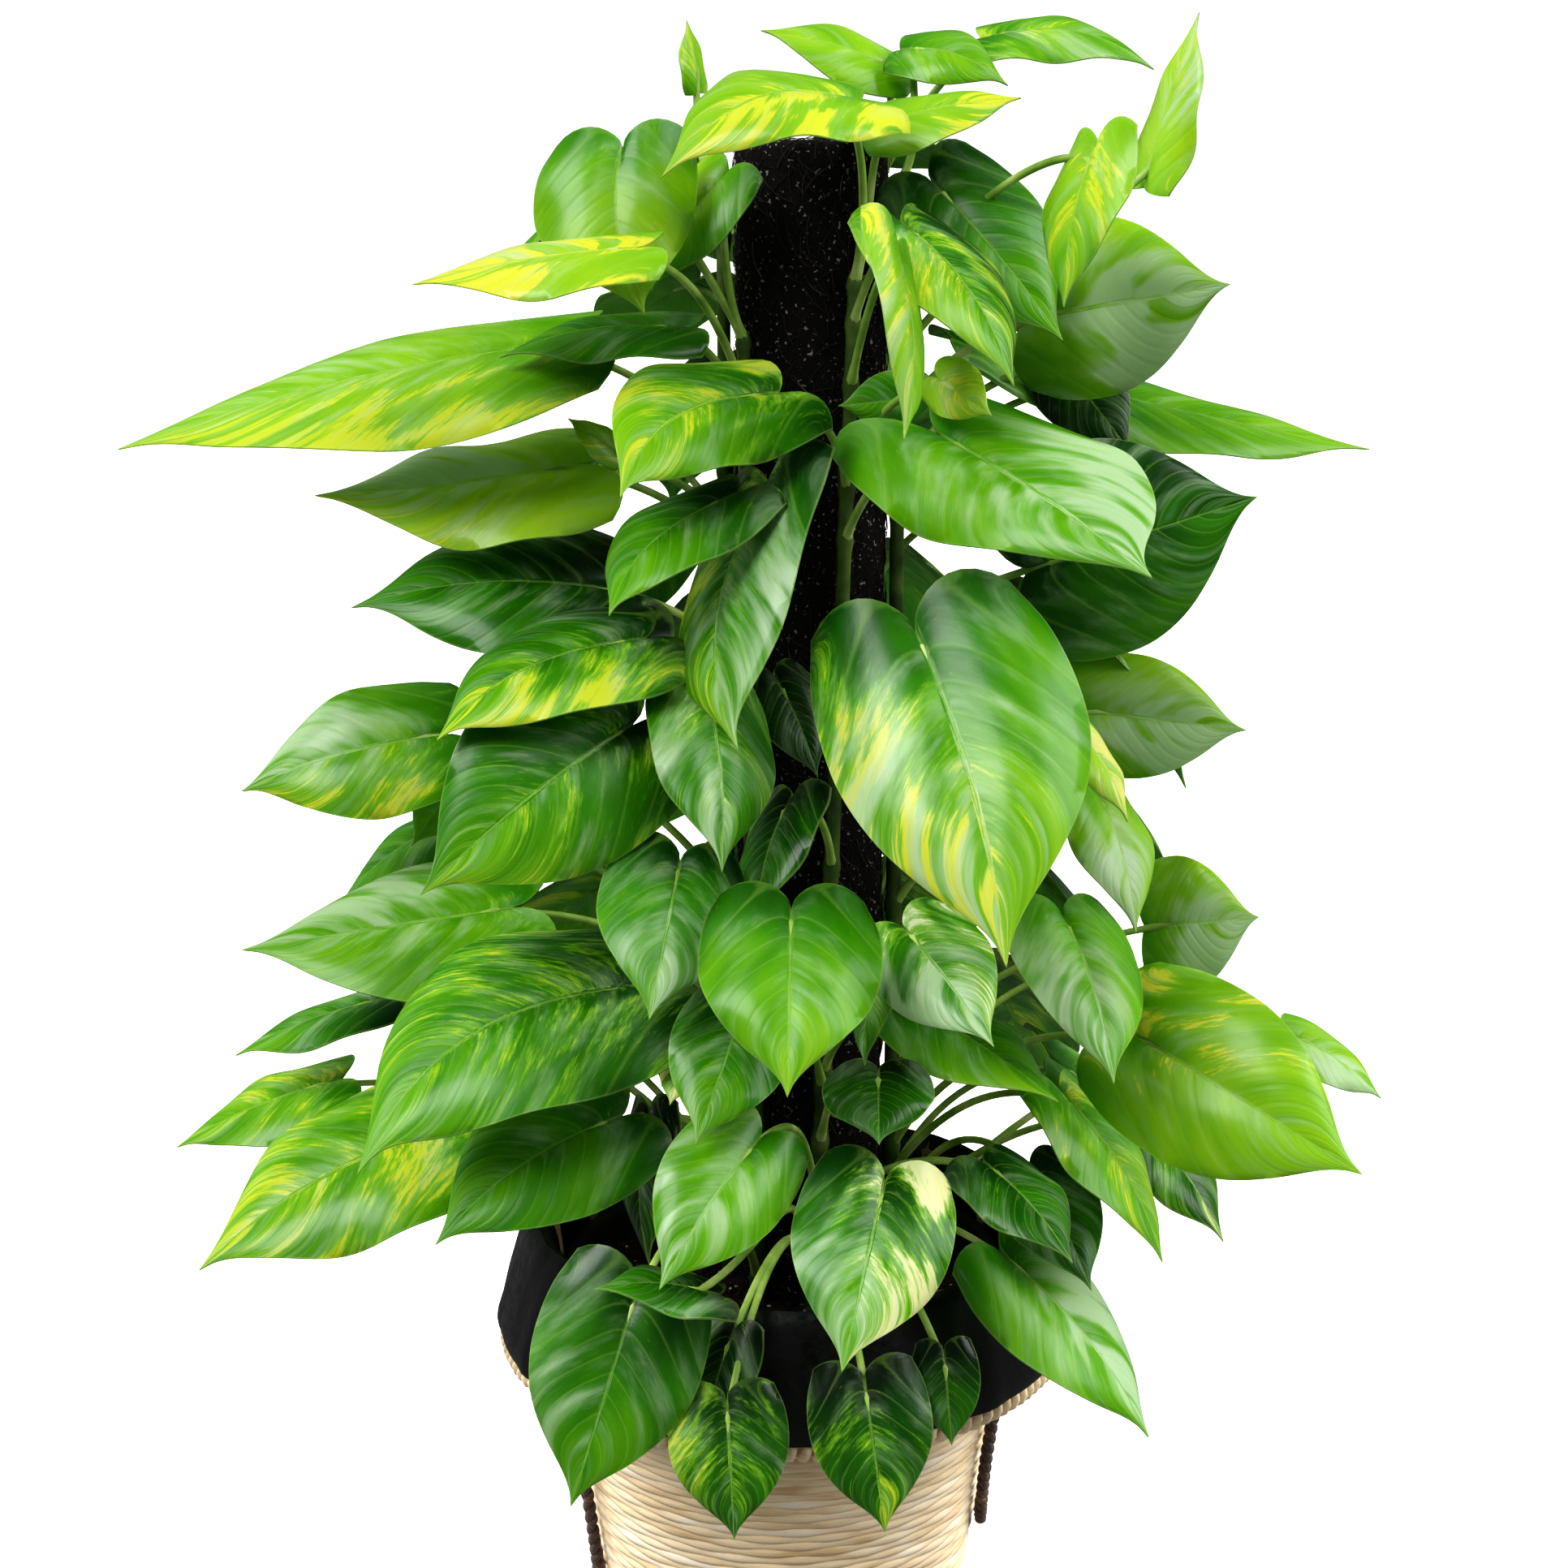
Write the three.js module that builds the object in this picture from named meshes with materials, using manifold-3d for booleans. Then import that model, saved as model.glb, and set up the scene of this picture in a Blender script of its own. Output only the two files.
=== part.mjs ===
// Potted pothos on a coir pole, in a woven basket with a folded, plastic-lined rim.
// Millimetres, +Z up, -Y toward the viewer. The origin is the centre of the basket's flat base.
import * as THREE from 'three';
import { mergeVertices } from 'three/addons/utils/BufferGeometryUtils.js';
import Module from 'manifold-3d';

// Driving dimensions: the basket with its folded rim, and the lining
const BASE_RADIUS = 83;
const FOLD_RADIUS = 124;
const FOLD_HEIGHT = 268.5;
const CUFF_RADIUS = 145;
const CUFF_LOW_HEIGHT = 205;
const FLOOR_THICKNESS = 5;
const LINING_GAP = 0.3;
const LINING_THICKNESS = 1.2;
const CLEARANCE = 0.3;
const ROUND_SIDES = 24;

// The handles: each is a rope loop, as wide and as low as the photo shows on its side
const ROPE_RADIUS = 5;
const ROPE_SIDES = 6;
const ROPE_STEPS = 24;
const ROPE_WALL_GAP = 1;
const ROPE_END_HEIGHT = 224;
const ROPE_END_GAP = 1.1;
const LOOP_TOP = 215;
const LOOP_FULLNESS = 0.7;
const RIGHT_LOOP = { side: 1, halfWidth: 46, low: 97 };
const LEFT_LOOP = { side: -1, halfWidth: 42, low: 58 };

// The grow pot and its soil
const GROW_POT_FOOT = FLOOR_THICKNESS + LINING_GAP + LINING_THICKNESS + CLEARANCE;
const GROW_POT_FOOT_RADIUS = 72;
const GROW_POT_TOP_RADIUS = 107.5;
const GROW_POT_TOP = 242;
const GROW_POT_WALL = 1.8;
const GROW_POT_LIP = 4;
const GROW_POT_LIP_HEIGHT = 6;
const DRAIN_RADIUS = 6;
const SOIL_HEIGHT = 230;
const SOIL_FLAT_RADIUS = 70;
const SOIL_FALL = 4;
const HOLE_OVERRUN = 20;

// The pole, the stems that climb it, and the stalks that leave them
const POLE_X = 13;
const POLE_RADIUS = 37;
const POLE_CORE_RADIUS = 20;
const POLE_FOOT = 30;
const POLE_TOP = 800;
const STEM_RADIUS = 4.2;
const STEM_SIDES = 5;
const STEM_STEPS = 6;
const STEM_POLE_GAP = 0.4;
const STEM_SOIL_GAP = 1.1;
const STEM_FOOT = 150;
const STALK_RADIUS = 2.1;
const STALK_SIDES = 3;
const STALK_STEPS = 3;
const STALK_TOP_GAP = 4;
const STALK_LOWEST = SOIL_HEIGHT + 12;
const BLADE_THICKNESS = 0.9;
const LARGE_BLADE_WIDTH = 76;

// The view in the photo: where the eye stands, how far it looks down,
// and its focal length and its centre in photo pixels
const EYE = new THREE.Vector3(0, -1300, 815.4);
const LOOK_DOWN = THREE.MathUtils.degToRad(14);
const FOCAL_PIXELS = 3349.5;
const CENTRE_PIXEL = 966;

// A blade's half width along its midrib, as a share of its widest, and how the rest of it is shaped
const BLADE_OUTLINE = [
  [0, 0.8], [0.12, 0.95], [0.27, 1], [0.42, 0.96], [0.58, 0.81],
  [0.74, 0.55], [0.88, 0.23], [0.95, 0.085], [1, 0],
];
const LARGE_BLADE_ROWS = [0, 0.15, 0.42, 0.72];
const SMALL_BLADE_ROWS = [0, 0.3, 0.68];
const FINE_COLUMNS = [-1, -0.5, 0, 0.5, 1];
const PLAIN_COLUMNS = [-1, 0, 1];
const MIDRIB_GROOVE = 0.3;
const EDGE_DROOP = 0.48;
const LOBE_END = 0.4;
const LOBE_SWEEP = 0.88 * Math.PI;

// How a stalk rises and spreads from its stem, and comes in under its blade, as shares of its span
const STALK_RISE = 0.35;
const STALK_RISE_OVER_RIM = 0.55;
const STALK_SPREAD = 0.22;
const STALK_RETURN = 0.3;
const STALK_RUN_IN = 0.14;

// Where a stalk leaves its stem: below its blade by a share of the blade's distance and a little more.
// A blade this close to the fold's height and this far out has a stalk that rises over the fold.
const NODE_DROP = 0.55;
const NODE_BELOW = 12;
const NEAR_FOLD = 60;

// How far a stalk runs on under its blade and how deep it sits in it, and the volume of the largest
// crumb that may be dropped, in cubic millimetres
const STALK_OVERLAP = 8;
const STALK_DEPTH = 0.4;
const LARGEST_CRUMB = 20;

// What a leaf is where its row below doesn't say otherwise
const USUAL_LEAF = { plump: 0.7, arch: 0.08, bend: 0, lobe: 0.15, skew: 0, vine: null };

// The climbing stems: azimuth about the pole at the soil and at the top in degrees, and the height of the top
const VINES = {
  front_right: { from: -88, to: -62, top: 742 },
  front_left: { from: -128, to: -140, top: 715 },
  left: { from: 172, to: 178, top: 772 },
  back_left: { from: 128, to: 134, top: 790 },
  back: { from: 84, to: 96, top: 800 },
  back_right: { from: 42, to: 48, top: 778 },
  right: { from: -4, to: -10, top: 785 },
};

// The leaves that the photo shows: base and tip in photo pixels, width across in photo pixels,
// how far the base and the tip lie toward the viewer from the basket's axis in millimetres,
// and what sets the leaf apart
const CROWN_LEAVES = [
  [[862, 112], [847, 25], 30, [-20, -20], { arch: 0.02, lobe: 0.05 }],
  [[1050, 132], [815, 218], 112, [64, 120], { arch: 0.2 }],
  [[768, 182], [795, 388], 205, [60, 90], { arch: 0.06, bend: 0.1 }],
  [[780, 306], [508, 350], 62, [120, 125], { arch: 0.03 }],
  [[1100, 85], [938, 37], 62, [-20, -10], { arch: 0.06 }],
  [[1112, 62], [1242, 105], 70, [-10, 10], { arch: 0.15, lobe: 0.08 }],
  [[1075, 155], [1258, 120], 62, [40, 44], { arch: 0.04, lobe: 0.08 }],
  [[1215, 48], [1422, 85], 50, [-30, -20], { arch: 0.14, lobe: 0.08 }],
  [[1410, 228], [1477, 15], 62, [-20, -20], { arch: 0.02, lobe: 0.04 }],
  [[1350, 180], [1310, 378], 95, [80, 110], { arch: 0.06 }],
  [[1150, 225], [1310, 420], 170, [30, 60], { arch: 0.06 }],
  [[893, 215], [802, 358], 90, [40, 55], {}],
];
const UPPER_LEAVES = [
  [[672, 425], [145, 553], 118, [40, 60], { arch: 0.03, plump: 0.6 }],
  [[838, 405], [615, 440], 55, [70, 75], {}],
  [[955, 488], [764, 613], 172, [105, 170], { arch: 0.04, bend: 0.16 }],
  [[1165, 540], [1420, 712], 225, [100, 190], { arch: 0.04, skew: 0.5, lobe: 0.24 }],
  [[1115, 280], [1250, 475], 115, [90, 140], { arch: 0.1 }],
  [[1105, 310], [1115, 540], 55, [130, 186], { arch: 0.06 }],
  [[1135, 490], [1032, 500], 75, [60, 68], { arch: 0.02 }],
  [[1155, 465], [1222, 512], 75, [96, 122], { arch: 0.06 }],
  [[1275, 390], [1517, 350], 225, [20, 40], { arch: 0.04 }],
  [[1310, 470], [1688, 553], 72, [-18, -18], { arch: -0.01, plump: 0.45, lobe: 0.08 }],
  [[1300, 440], [1395, 560], 110, [-4, 22], { arch: 0.06 }],
  [[1275, 700], [1550, 612], 270, [60, 60], { arch: 0.04 }],
  [[945, 605], [908, 922], 150, [100, 178], { arch: 0.06, bend: 0.12, vine: 'front_left' }],
  [[905, 612], [750, 758], 108, [118, 166], { arch: 0.04, bend: 0.14 }],
  [[712, 572], [388, 610], 132, [40, 60], { arch: -0.02 }],
  [[762, 560], [700, 515], 40, [40, 40], { arch: 0.06 }],
  [[775, 732], [433, 748], 174, [50, 70], { arch: 0.1 }],
];
const MIDDLE_LEAVES = [
  [[1330, 875], [1537, 900], 155, [20, 30], { arch: 0.04 }],
  [[1128, 780], [1240, 1192], 330, [150, 235], { arch: 0.06, bend: -0.04 }],
  [[790, 790], [538, 912], 136, [116, 160], { arch: 0.04, bend: 0.12 }],
  [[545, 905], [297, 975], 162, [30, 40], { arch: 0.1 }],
  [[570, 960], [507, 1042], 70, [0, 20], {}],
  [[780, 893], [518, 1103], 258, [120, 170], { bend: 0.03 }],
  [[560, 1010], [420, 1112], 60, [-16, -12], {}],
  [[630, 1118], [298, 1170], 165, [50, 70], { arch: 0, vine: 'left' }],
  [[838, 1060], [800, 1256], 185, [140, 195], {}],
  [[872, 855], [890, 1074], 155, [115, 170], {}],
  [[975, 1120], [970, 1352], 230, [182, 240], {}],
  [[915, 1245], [857, 1410], 150, [152, 203], {}],
  [[1115, 1145], [1225, 1290], 150, [130, 190], {}],
  [[1125, 1240], [1304, 1357], 98, [110, 165], { arch: 0.03 }],
  [[1310, 1130], [1373, 1335], 145, [110, 175], {}],
  [[1350, 975], [1400, 1150], 95, [60, 100], {}],
  [[1318, 890], [1390, 1012], 50, [90, 110], {}],
  [[1412, 1142], [1552, 1130], 170, [20, 30], { lobe: 0.06 }],
  [[975, 985], [932, 1137], 85, [106, 150], {}],
  [[955, 835], [1008, 958], 90, [75, 100], {}],
  [[1082, 1210], [1065, 1312], 45, [140, 165], {}],
];
const LOWER_LEAVES = [
  [[470, 1232], [290, 1300], 50, [10, 20], { arch: 0.05 }],
  [[785, 1220], [440, 1447], 242, [130, 190], { arch: 0.05, bend: 0.16 }],
  [[540, 1395], [245, 1565], 185, [60, 100], { arch: 0.05, bend: 0.05 }],
  [[412, 1332], [218, 1413], 80, [5, 18], { arch: 0.05 }],
  [[762, 1378], [536, 1534], 182, [120, 170], { arch: 0.05, bend: 0.06 }],
  [[1400, 1275], [1680, 1448], 235, [90, 150], {}],
  [[1590, 1275], [1702, 1353], 60, [10, 20], {}],
  [[1310, 1350], [1433, 1555], 85, [80, 130], {}],
  [[1395, 1375], [1508, 1530], 90, [48, 84], {}],
  [[1215, 1435], [1322, 1556], 100, [130, 180], {}],
  [[1270, 1440], [1345, 1590], 120, [90, 140], {}],
  [[1240, 1550], [1416, 1771], 130, [110, 150], {}],
  [[935, 1405], [812, 1590], 165, [175, 225], { bend: 0.03 }],
  [[1090, 1455], [1037, 1691], 202, [185, 240], {}],
  [[1082, 1318], [1083, 1410], 140, [160, 195], {}],
  [[785, 1590], [703, 1857], 215, [165, 190], {}],
  [[880, 1595], [733, 1588], 60, [192, 215], {}],
  [[800, 1375], [800, 1560], 70, [105, 130], {}],
  [[845, 1300], [825, 1362], 50, [140, 160], {}],
  [[895, 1725], [905, 1897], 150, [175, 190], {}],
  [[1065, 1700], [1091, 1889], 154, [175, 190], {}],
  [[1163, 1665], [1173, 1782], 85, [165, 175], {}],
  [[905, 1640], [870, 1770], 80, [150, 165], {}],
];

// The leaves behind, which the photo hides: how many, and from where to where each measure runs
// from the top leaf to the lowest, with how far it strays. Angles are in degrees.
const REAR_LEAF_COUNT = 34;
const REAR_AZIMUTH = { first: 9, span: 162 };
const REAR_HEIGHT = { top: 815, drop: 520 };
const REAR_REACH = { top: 62, more: 105, stray: 26 };
const REAR_PITCH = { top: 28, more: 26, stray: 28 };
const REAR_LENGTH = { top: 92, more: 52, stray: 22 };
const REAR_PLUMP = { usual: 0.66, stray: 0.1 };
const REAR_TURN_STRAY = 26;
const REAR_LEAN_STRAY = 44;

// Steps round the circle that keep a long row of draws evenly spread
const EVEN_STEPS = { azimuth: 0.6180339887, spin: 0.7548776662, sway: 0.569840291, lean: 0.430159709 };

const UP = new THREE.Vector3(0, 0, 1);
const wasm = await Module();
wasm.setup();

function material(color, roughness) {
  return new THREE.MeshStandardMaterial({ color, roughness, metalness: 0 });
}

// Joining and cutting

function toSolid(geometry) {
  const bare = geometry.clone();
  bare.deleteAttribute('normal');
  bare.deleteAttribute('uv');
  const merged = mergeVertices(bare, 1e-4);
  const mesh = new wasm.Mesh({
    numProp: 3,
    vertProperties: new Float32Array(merged.attributes.position.array),
    triVerts: new Uint32Array(merged.index.array),
  });
  return new wasm.Manifold(mesh);
}

function toGeometry(solid) {
  const mesh = solid.getMesh();
  const geometry = new THREE.BufferGeometry();
  geometry.setAttribute('position', new THREE.BufferAttribute(mesh.vertProperties, 3));
  geometry.setIndex(new THREE.BufferAttribute(mesh.triVerts, 1));
  return geometry;
}

function joined(geometries) {
  return geometries.map(toSolid).reduce((whole, piece) => whole.add(piece));
}

// Round pieces stand on +Z: a lathe turns about Y, so each is stood up afterwards.

function turned(profile, sides = ROUND_SIDES) {
  const points = profile.map(([radius, height]) => new THREE.Vector2(radius, height));
  return new THREE.LatheGeometry(points, sides).rotateX(Math.PI / 2);
}

function ring(profile, sides) {
  return turned([...profile, profile[0]], sides);
}

// A tube of few sides along a curve
function rod(curve, radius, sides, steps) {
  const section = new THREE.Shape();
  for (let side = 0; side < sides; side += 1) {
    const angle = (2 * Math.PI * side) / sides;
    const corner = [radius * Math.cos(angle), radius * Math.sin(angle)];
    if (side === 0) section.moveTo(...corner);
    else section.lineTo(...corner);
  }
  section.closePath();
  return new THREE.ExtrudeGeometry(section, { steps, bevelEnabled: false, extrudePath: curve });
}

// Basket, lining, grow pot and soil

// The basket's inside, its fold and the outer face of the folded rim, from the middle of the floor to the hem
const LINED_FACE = [
  [0, FLOOR_THICKNESS], [BASE_RADIUS - 4, FLOOR_THICKNESS], [89, 62], [108, 185], [116.5, 253],
  [FOLD_RADIUS, FOLD_HEIGHT], [FOLD_RADIUS + 5.5, FOLD_HEIGHT - 2.5], [134, 253],
  [CUFF_RADIUS, CUFF_LOW_HEIGHT + 11], [CUFF_RADIUS - 0.5, CUFF_LOW_HEIGHT + 4],
];
// The rolled hem and the inner face of the folded rim
const HEM_FACE = [
  [CUFF_RADIUS - 2, CUFF_LOW_HEIGHT - 1], [CUFF_RADIUS - 5, CUFF_LOW_HEIGHT - 4.5],
  [CUFF_RADIUS - 9, CUFF_LOW_HEIGHT - 4], [CUFF_RADIUS - 10.5, CUFF_LOW_HEIGHT],
  [CUFF_RADIUS - 8, CUFF_LOW_HEIGHT + 6], [136, 230], [129, 250], [FOLD_RADIUS, 259],
];
// The basket's outer wall, from its base up to where the folded rim hides it
const OUTER_WALL = [[BASE_RADIUS, 0], [93, 62], [112, 185], [120.5, 252]];

// A line of points moved sideways by a distance, to the left of its direction
function moved(points, distance) {
  return points.map((point, index) => {
    const before = points[Math.max(0, index - 1)];
    const after = points[Math.min(points.length - 1, index + 1)];
    const length = Math.hypot(after[0] - before[0], after[1] - before[1]);
    const across = [-(after[1] - before[1]) / length, (after[0] - before[0]) / length];
    return [Math.max(0, point[0] + across[0] * distance), point[1] + across[1] * distance];
  });
}

function basket() {
  return turned([[0, 0], ...OUTER_WALL, ...[...LINED_FACE, ...HEM_FACE].reverse()]);
}

function lining() {
  const near = moved(LINED_FACE, LINING_GAP);
  const far = moved(LINED_FACE, LINING_GAP + LINING_THICKNESS);
  near[0] = [0, FLOOR_THICKNESS + LINING_GAP];
  far[0] = [0, FLOOR_THICKNESS + LINING_GAP + LINING_THICKNESS];
  return turned([...near, ...far.reverse()]);
}

function growPot() {
  return ring([
    [DRAIN_RADIUS, GROW_POT_FOOT],
    [GROW_POT_FOOT_RADIUS, GROW_POT_FOOT],
    [GROW_POT_TOP_RADIUS, GROW_POT_TOP - GROW_POT_LIP_HEIGHT],
    [GROW_POT_TOP_RADIUS + GROW_POT_LIP, GROW_POT_TOP - GROW_POT_LIP_HEIGHT],
    [GROW_POT_TOP_RADIUS + GROW_POT_LIP, GROW_POT_TOP],
    [GROW_POT_TOP_RADIUS - GROW_POT_WALL, GROW_POT_TOP],
    [GROW_POT_FOOT_RADIUS - GROW_POT_WALL, GROW_POT_FOOT + GROW_POT_WALL],
    [DRAIN_RADIUS, GROW_POT_FOOT + GROW_POT_WALL],
  ]);
}

function upright(radius, foot, top, x, y, sides) {
  return new THREE.CylinderGeometry(radius, radius, top - foot, sides)
    .rotateX(Math.PI / 2)
    .translate(x, y, (foot + top) / 2);
}

function growPotInside(height) {
  const floor = GROW_POT_FOOT + GROW_POT_WALL;
  const flare = (GROW_POT_TOP_RADIUS - GROW_POT_FOOT_RADIUS) / (GROW_POT_TOP - floor);
  return GROW_POT_FOOT_RADIUS - GROW_POT_WALL + flare * (height - floor);
}

// The soil fills the pot, with a plain hole for the pole and for each stem.
function soil() {
  const foot = GROW_POT_FOOT + GROW_POT_WALL + CLEARANCE;
  const edge = SOIL_HEIGHT - SOIL_FALL;
  const gap = CLEARANCE + 0.1;
  const body = turned([
    [0, foot], [growPotInside(foot) - gap, foot], [growPotInside(edge) - gap, edge],
    [SOIL_FLAT_RADIUS, SOIL_HEIGHT], [0, SOIL_HEIGHT],
  ]);
  const above = SOIL_HEIGHT + HOLE_OVERRUN;
  const holes = [upright(POLE_RADIUS + CLEARANCE, POLE_FOOT - CLEARANCE, above, POLE_X, 0, ROUND_SIDES)];
  for (const name of Object.keys(VINES)) {
    const { x, y } = stemPoint(name, STEM_FOOT);
    holes.push(upright(STEM_RADIUS + STEM_SOIL_GAP, STEM_FOOT - CLEARANCE, above, x, y, STEM_SIDES + 3));
  }
  return toGeometry(toSolid(body).subtract(joined(holes)));
}

// Handles: a rope loop on each side, hanging flat against the wall from under the folded rim

function wallRadius(height) {
  const upper = OUTER_WALL.findIndex(([, z]) => z >= height);
  const [r1, z1] = OUTER_WALL[upper];
  const [r0, z0] = OUTER_WALL[upper - 1];
  return r0 + ((r1 - r0) * (height - z0)) / (z1 - z0);
}

function handle({ side, halfWidth, low }) {
  const at = (out, across, height) => {
    const radius = wallRadius(height) + out;
    const azimuth = across / wallRadius(height);
    return new THREE.Vector3(side * radius * Math.cos(azimuth), radius * Math.sin(azimuth), height);
  };
  // Each end heads straight out of the wall before the rope turns down.
  const end = (across) => [at(ROPE_END_GAP, across, ROPE_END_HEIGHT), at(4, across, ROPE_END_HEIGHT - 1)];
  const loop = [];
  const parts = 12;
  for (let part = 0; part <= parts; part += 1) {
    const turn = (Math.PI * part) / parts;
    const height = LOOP_TOP - (LOOP_TOP - low) * Math.sin(turn) ** LOOP_FULLNESS;
    loop.push(at(ROPE_RADIUS + ROPE_WALL_GAP, halfWidth * Math.cos(turn), height));
  }
  const points = [...end(halfWidth), ...loop, ...end(-halfWidth).reverse()];
  return rod(new THREE.CatmullRomCurve3(points), ROPE_RADIUS, ROPE_SIDES, ROPE_STEPS);
}

// Pole

function poleCore() {
  return upright(POLE_CORE_RADIUS, POLE_FOOT, POLE_TOP - 0.5, POLE_X, 0, 20);
}

function coirSleeve() {
  const bore = POLE_CORE_RADIUS + CLEARANCE;
  const profile = [[bore, POLE_FOOT], [POLE_RADIUS, POLE_FOOT], [POLE_RADIUS, POLE_TOP], [bore, POLE_TOP]];
  return ring(profile).translate(POLE_X, 0, 0);
}

// Leaves

// The point that a photo pixel shows, at a given distance toward the viewer from the basket's axis
function seen([x, y], near) {
  const ahead = new THREE.Vector3(0, Math.cos(LOOK_DOWN), -Math.sin(LOOK_DOWN));
  const above = new THREE.Vector3(0, Math.sin(LOOK_DOWN), Math.cos(LOOK_DOWN));
  const ray = ahead.addScaledVector(above, (CENTRE_PIXEL - y) / FOCAL_PIXELS);
  ray.x += (x - CENTRE_PIXEL) / FOCAL_PIXELS;
  return EYE.clone().addScaledVector(ray, (-near - EYE.y) / ray.y);
}

// The half width of the outline at a share of the midrib, on a smooth curve through its points
function outlineWidth(share) {
  const last = BLADE_OUTLINE.length - 1;
  const slope = (k) => {
    const [s0, w0] = BLADE_OUTLINE[Math.max(0, k - 1)];
    const [s1, w1] = BLADE_OUTLINE[Math.min(last, k + 1)];
    return (w1 - w0) / (s1 - s0);
  };
  const next = BLADE_OUTLINE.findIndex(([s], k) => k > 0 && share <= s);
  const [s0, w0] = BLADE_OUTLINE[next - 1];
  const [s1, w1] = BLADE_OUTLINE[next];
  const u = (share - s0) / (s1 - s0);
  const rise = slope(next - 1) * (s1 - s0);
  const fall = slope(next) * (s1 - s0);
  return (2 * u ** 3 - 3 * u ** 2 + 1) * w0 + (u ** 3 - 2 * u ** 2 + u) * rise
    + (3 * u ** 2 - 2 * u ** 3) * w1 + (u ** 3 - u ** 2) * fall;
}

// A leaf that the photo shows. It turns about its midrib until it is as wide as it looks there.
function seenLeaf([basePixel, tipPixel, pixelsWide, [baseNear, tipNear], traits]) {
  const leaf = { ...USUAL_LEAF, ...traits };
  leaf.base = seen(basePixel, baseNear);
  const tip = seen(tipPixel, tipNear);
  leaf.along = tip.clone().sub(leaf.base);
  leaf.length = leaf.along.length();
  leaf.along.normalize();
  const middle = leaf.base.clone().add(tip).multiplyScalar(0.5);
  const look = EYE.clone().sub(middle);
  const away = -look.y * Math.cos(LOOK_DOWN) + look.z * Math.sin(LOOK_DOWN);
  const shown = (pixelsWide * away) / FOCAL_PIXELS;
  look.normalize();
  const facing = look.addScaledVector(leaf.along, -look.dot(leaf.along)).normalize();
  const across = leaf.along.clone().cross(facing);
  leaf.width = Math.max(shown, leaf.plump * leaf.length);
  const roll = Math.acos(Math.min(1, shown / leaf.width));
  const turns = [roll, -roll].map((angle) => facing.clone().multiplyScalar(Math.cos(angle))
    .addScaledVector(across, Math.sin(angle)));
  leaf.normal = turns[0].z >= turns[1].z ? turns[0] : turns[1];
  leaf.side = leaf.along.clone().cross(leaf.normal);
  return leaf;
}

// Draws between -0.5 and 0.5 that spread evenly over a row of leaves
function draw(index, step, shift = 0) {
  const value = index * step + shift;
  return value - Math.floor(value) - 0.5;
}

// A leaf behind, by its place in the row from the top one to the lowest
function rearLeaf(index) {
  const { degToRad } = THREE.MathUtils;
  const share = (index + 0.5) / REAR_LEAF_COUNT;
  const spin = draw(index, EVEN_STEPS.spin);
  const sway = draw(index, EVEN_STEPS.sway);
  const azimuth = REAR_AZIMUTH.first + REAR_AZIMUTH.span * (draw(index, EVEN_STEPS.azimuth, 0.35) + 0.5);
  const outward = new THREE.Vector3(1, 0, 0).applyAxisAngle(UP, degToRad(azimuth));
  const heading = outward.clone().applyAxisAngle(UP, degToRad(REAR_TURN_STRAY * spin));
  const pitch = degToRad(REAR_PITCH.top + REAR_PITCH.more * share + REAR_PITCH.stray * sway);
  const lean = degToRad(REAR_LEAN_STRAY * draw(index, EVEN_STEPS.lean, 0.2));
  const leaf = { ...USUAL_LEAF, arch: 0.07 + 0.05 * spin, bend: 0.06 * sway };
  leaf.base = new THREE.Vector3(POLE_X, 0, REAR_HEIGHT.top - REAR_HEIGHT.drop * share ** 0.92)
    .addScaledVector(outward, REAR_REACH.top + REAR_REACH.more * share + REAR_REACH.stray * sway);
  leaf.length = REAR_LENGTH.top + REAR_LENGTH.more * share ** 0.7 + REAR_LENGTH.stray * spin;
  leaf.width = leaf.length * (REAR_PLUMP.usual + REAR_PLUMP.stray * sway);
  leaf.along = heading.clone().multiplyScalar(Math.cos(pitch)).addScaledVector(UP, -Math.sin(pitch));
  const flat = heading.clone().multiplyScalar(Math.sin(pitch)).addScaledVector(UP, Math.cos(pitch));
  const side = leaf.along.clone().cross(flat);
  leaf.normal = flat.multiplyScalar(Math.cos(lean)).addScaledVector(side, Math.sin(lean));
  leaf.side = leaf.along.clone().cross(leaf.normal);
  return leaf;
}

function midribPoint(leaf, share) {
  const bow = 4 * share * (1 - share) * leaf.length;
  return leaf.base.clone()
    .addScaledVector(leaf.along, leaf.length * share)
    .addScaledVector(leaf.normal, leaf.arch * bow)
    .addScaledVector(leaf.side, leaf.bend * bow);
}

// A point of the blade: share runs from base to tip, across from -1 at one edge to 1 at the other.
function bladePoint(leaf, share, across) {
  const half = (leaf.width / 2) * outlineWidth(share);
  const sweep = Math.max(0, 1 - share / LOBE_END) ** 2 * Math.sin(LOBE_SWEEP * Math.abs(across));
  const back = leaf.lobe * leaf.length * sweep + leaf.skew * half * across;
  const lift = half * (MIDRIB_GROOVE * Math.abs(across) - EDGE_DROOP * across ** 2);
  return midribPoint(leaf, share)
    .addScaledVector(leaf.side, half * across)
    .addScaledVector(leaf.normal, lift)
    .addScaledVector(leaf.along, -back);
}

// The triangles between two rows of points, split at the midrib alike on both halves
function strip(row, next) {
  const faces = [];
  const middle = (row.length - 1) / 2;
  for (let column = 0; column < row.length - 1; column += 1) {
    const scale = (next.length - 1) / (row.length - 1);
    const c = next[Math.round((column + 1) * scale)];
    const d = next[Math.round(column * scale)];
    const [a, b] = [row[column], row[column + 1]];
    if (c === d) faces.push([a, b, c]);
    else if (column >= middle) faces.push([a, b, c], [a, c, d]);
    else faces.push([a, b, d], [b, c, d]);
  }
  return faces;
}

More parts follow.
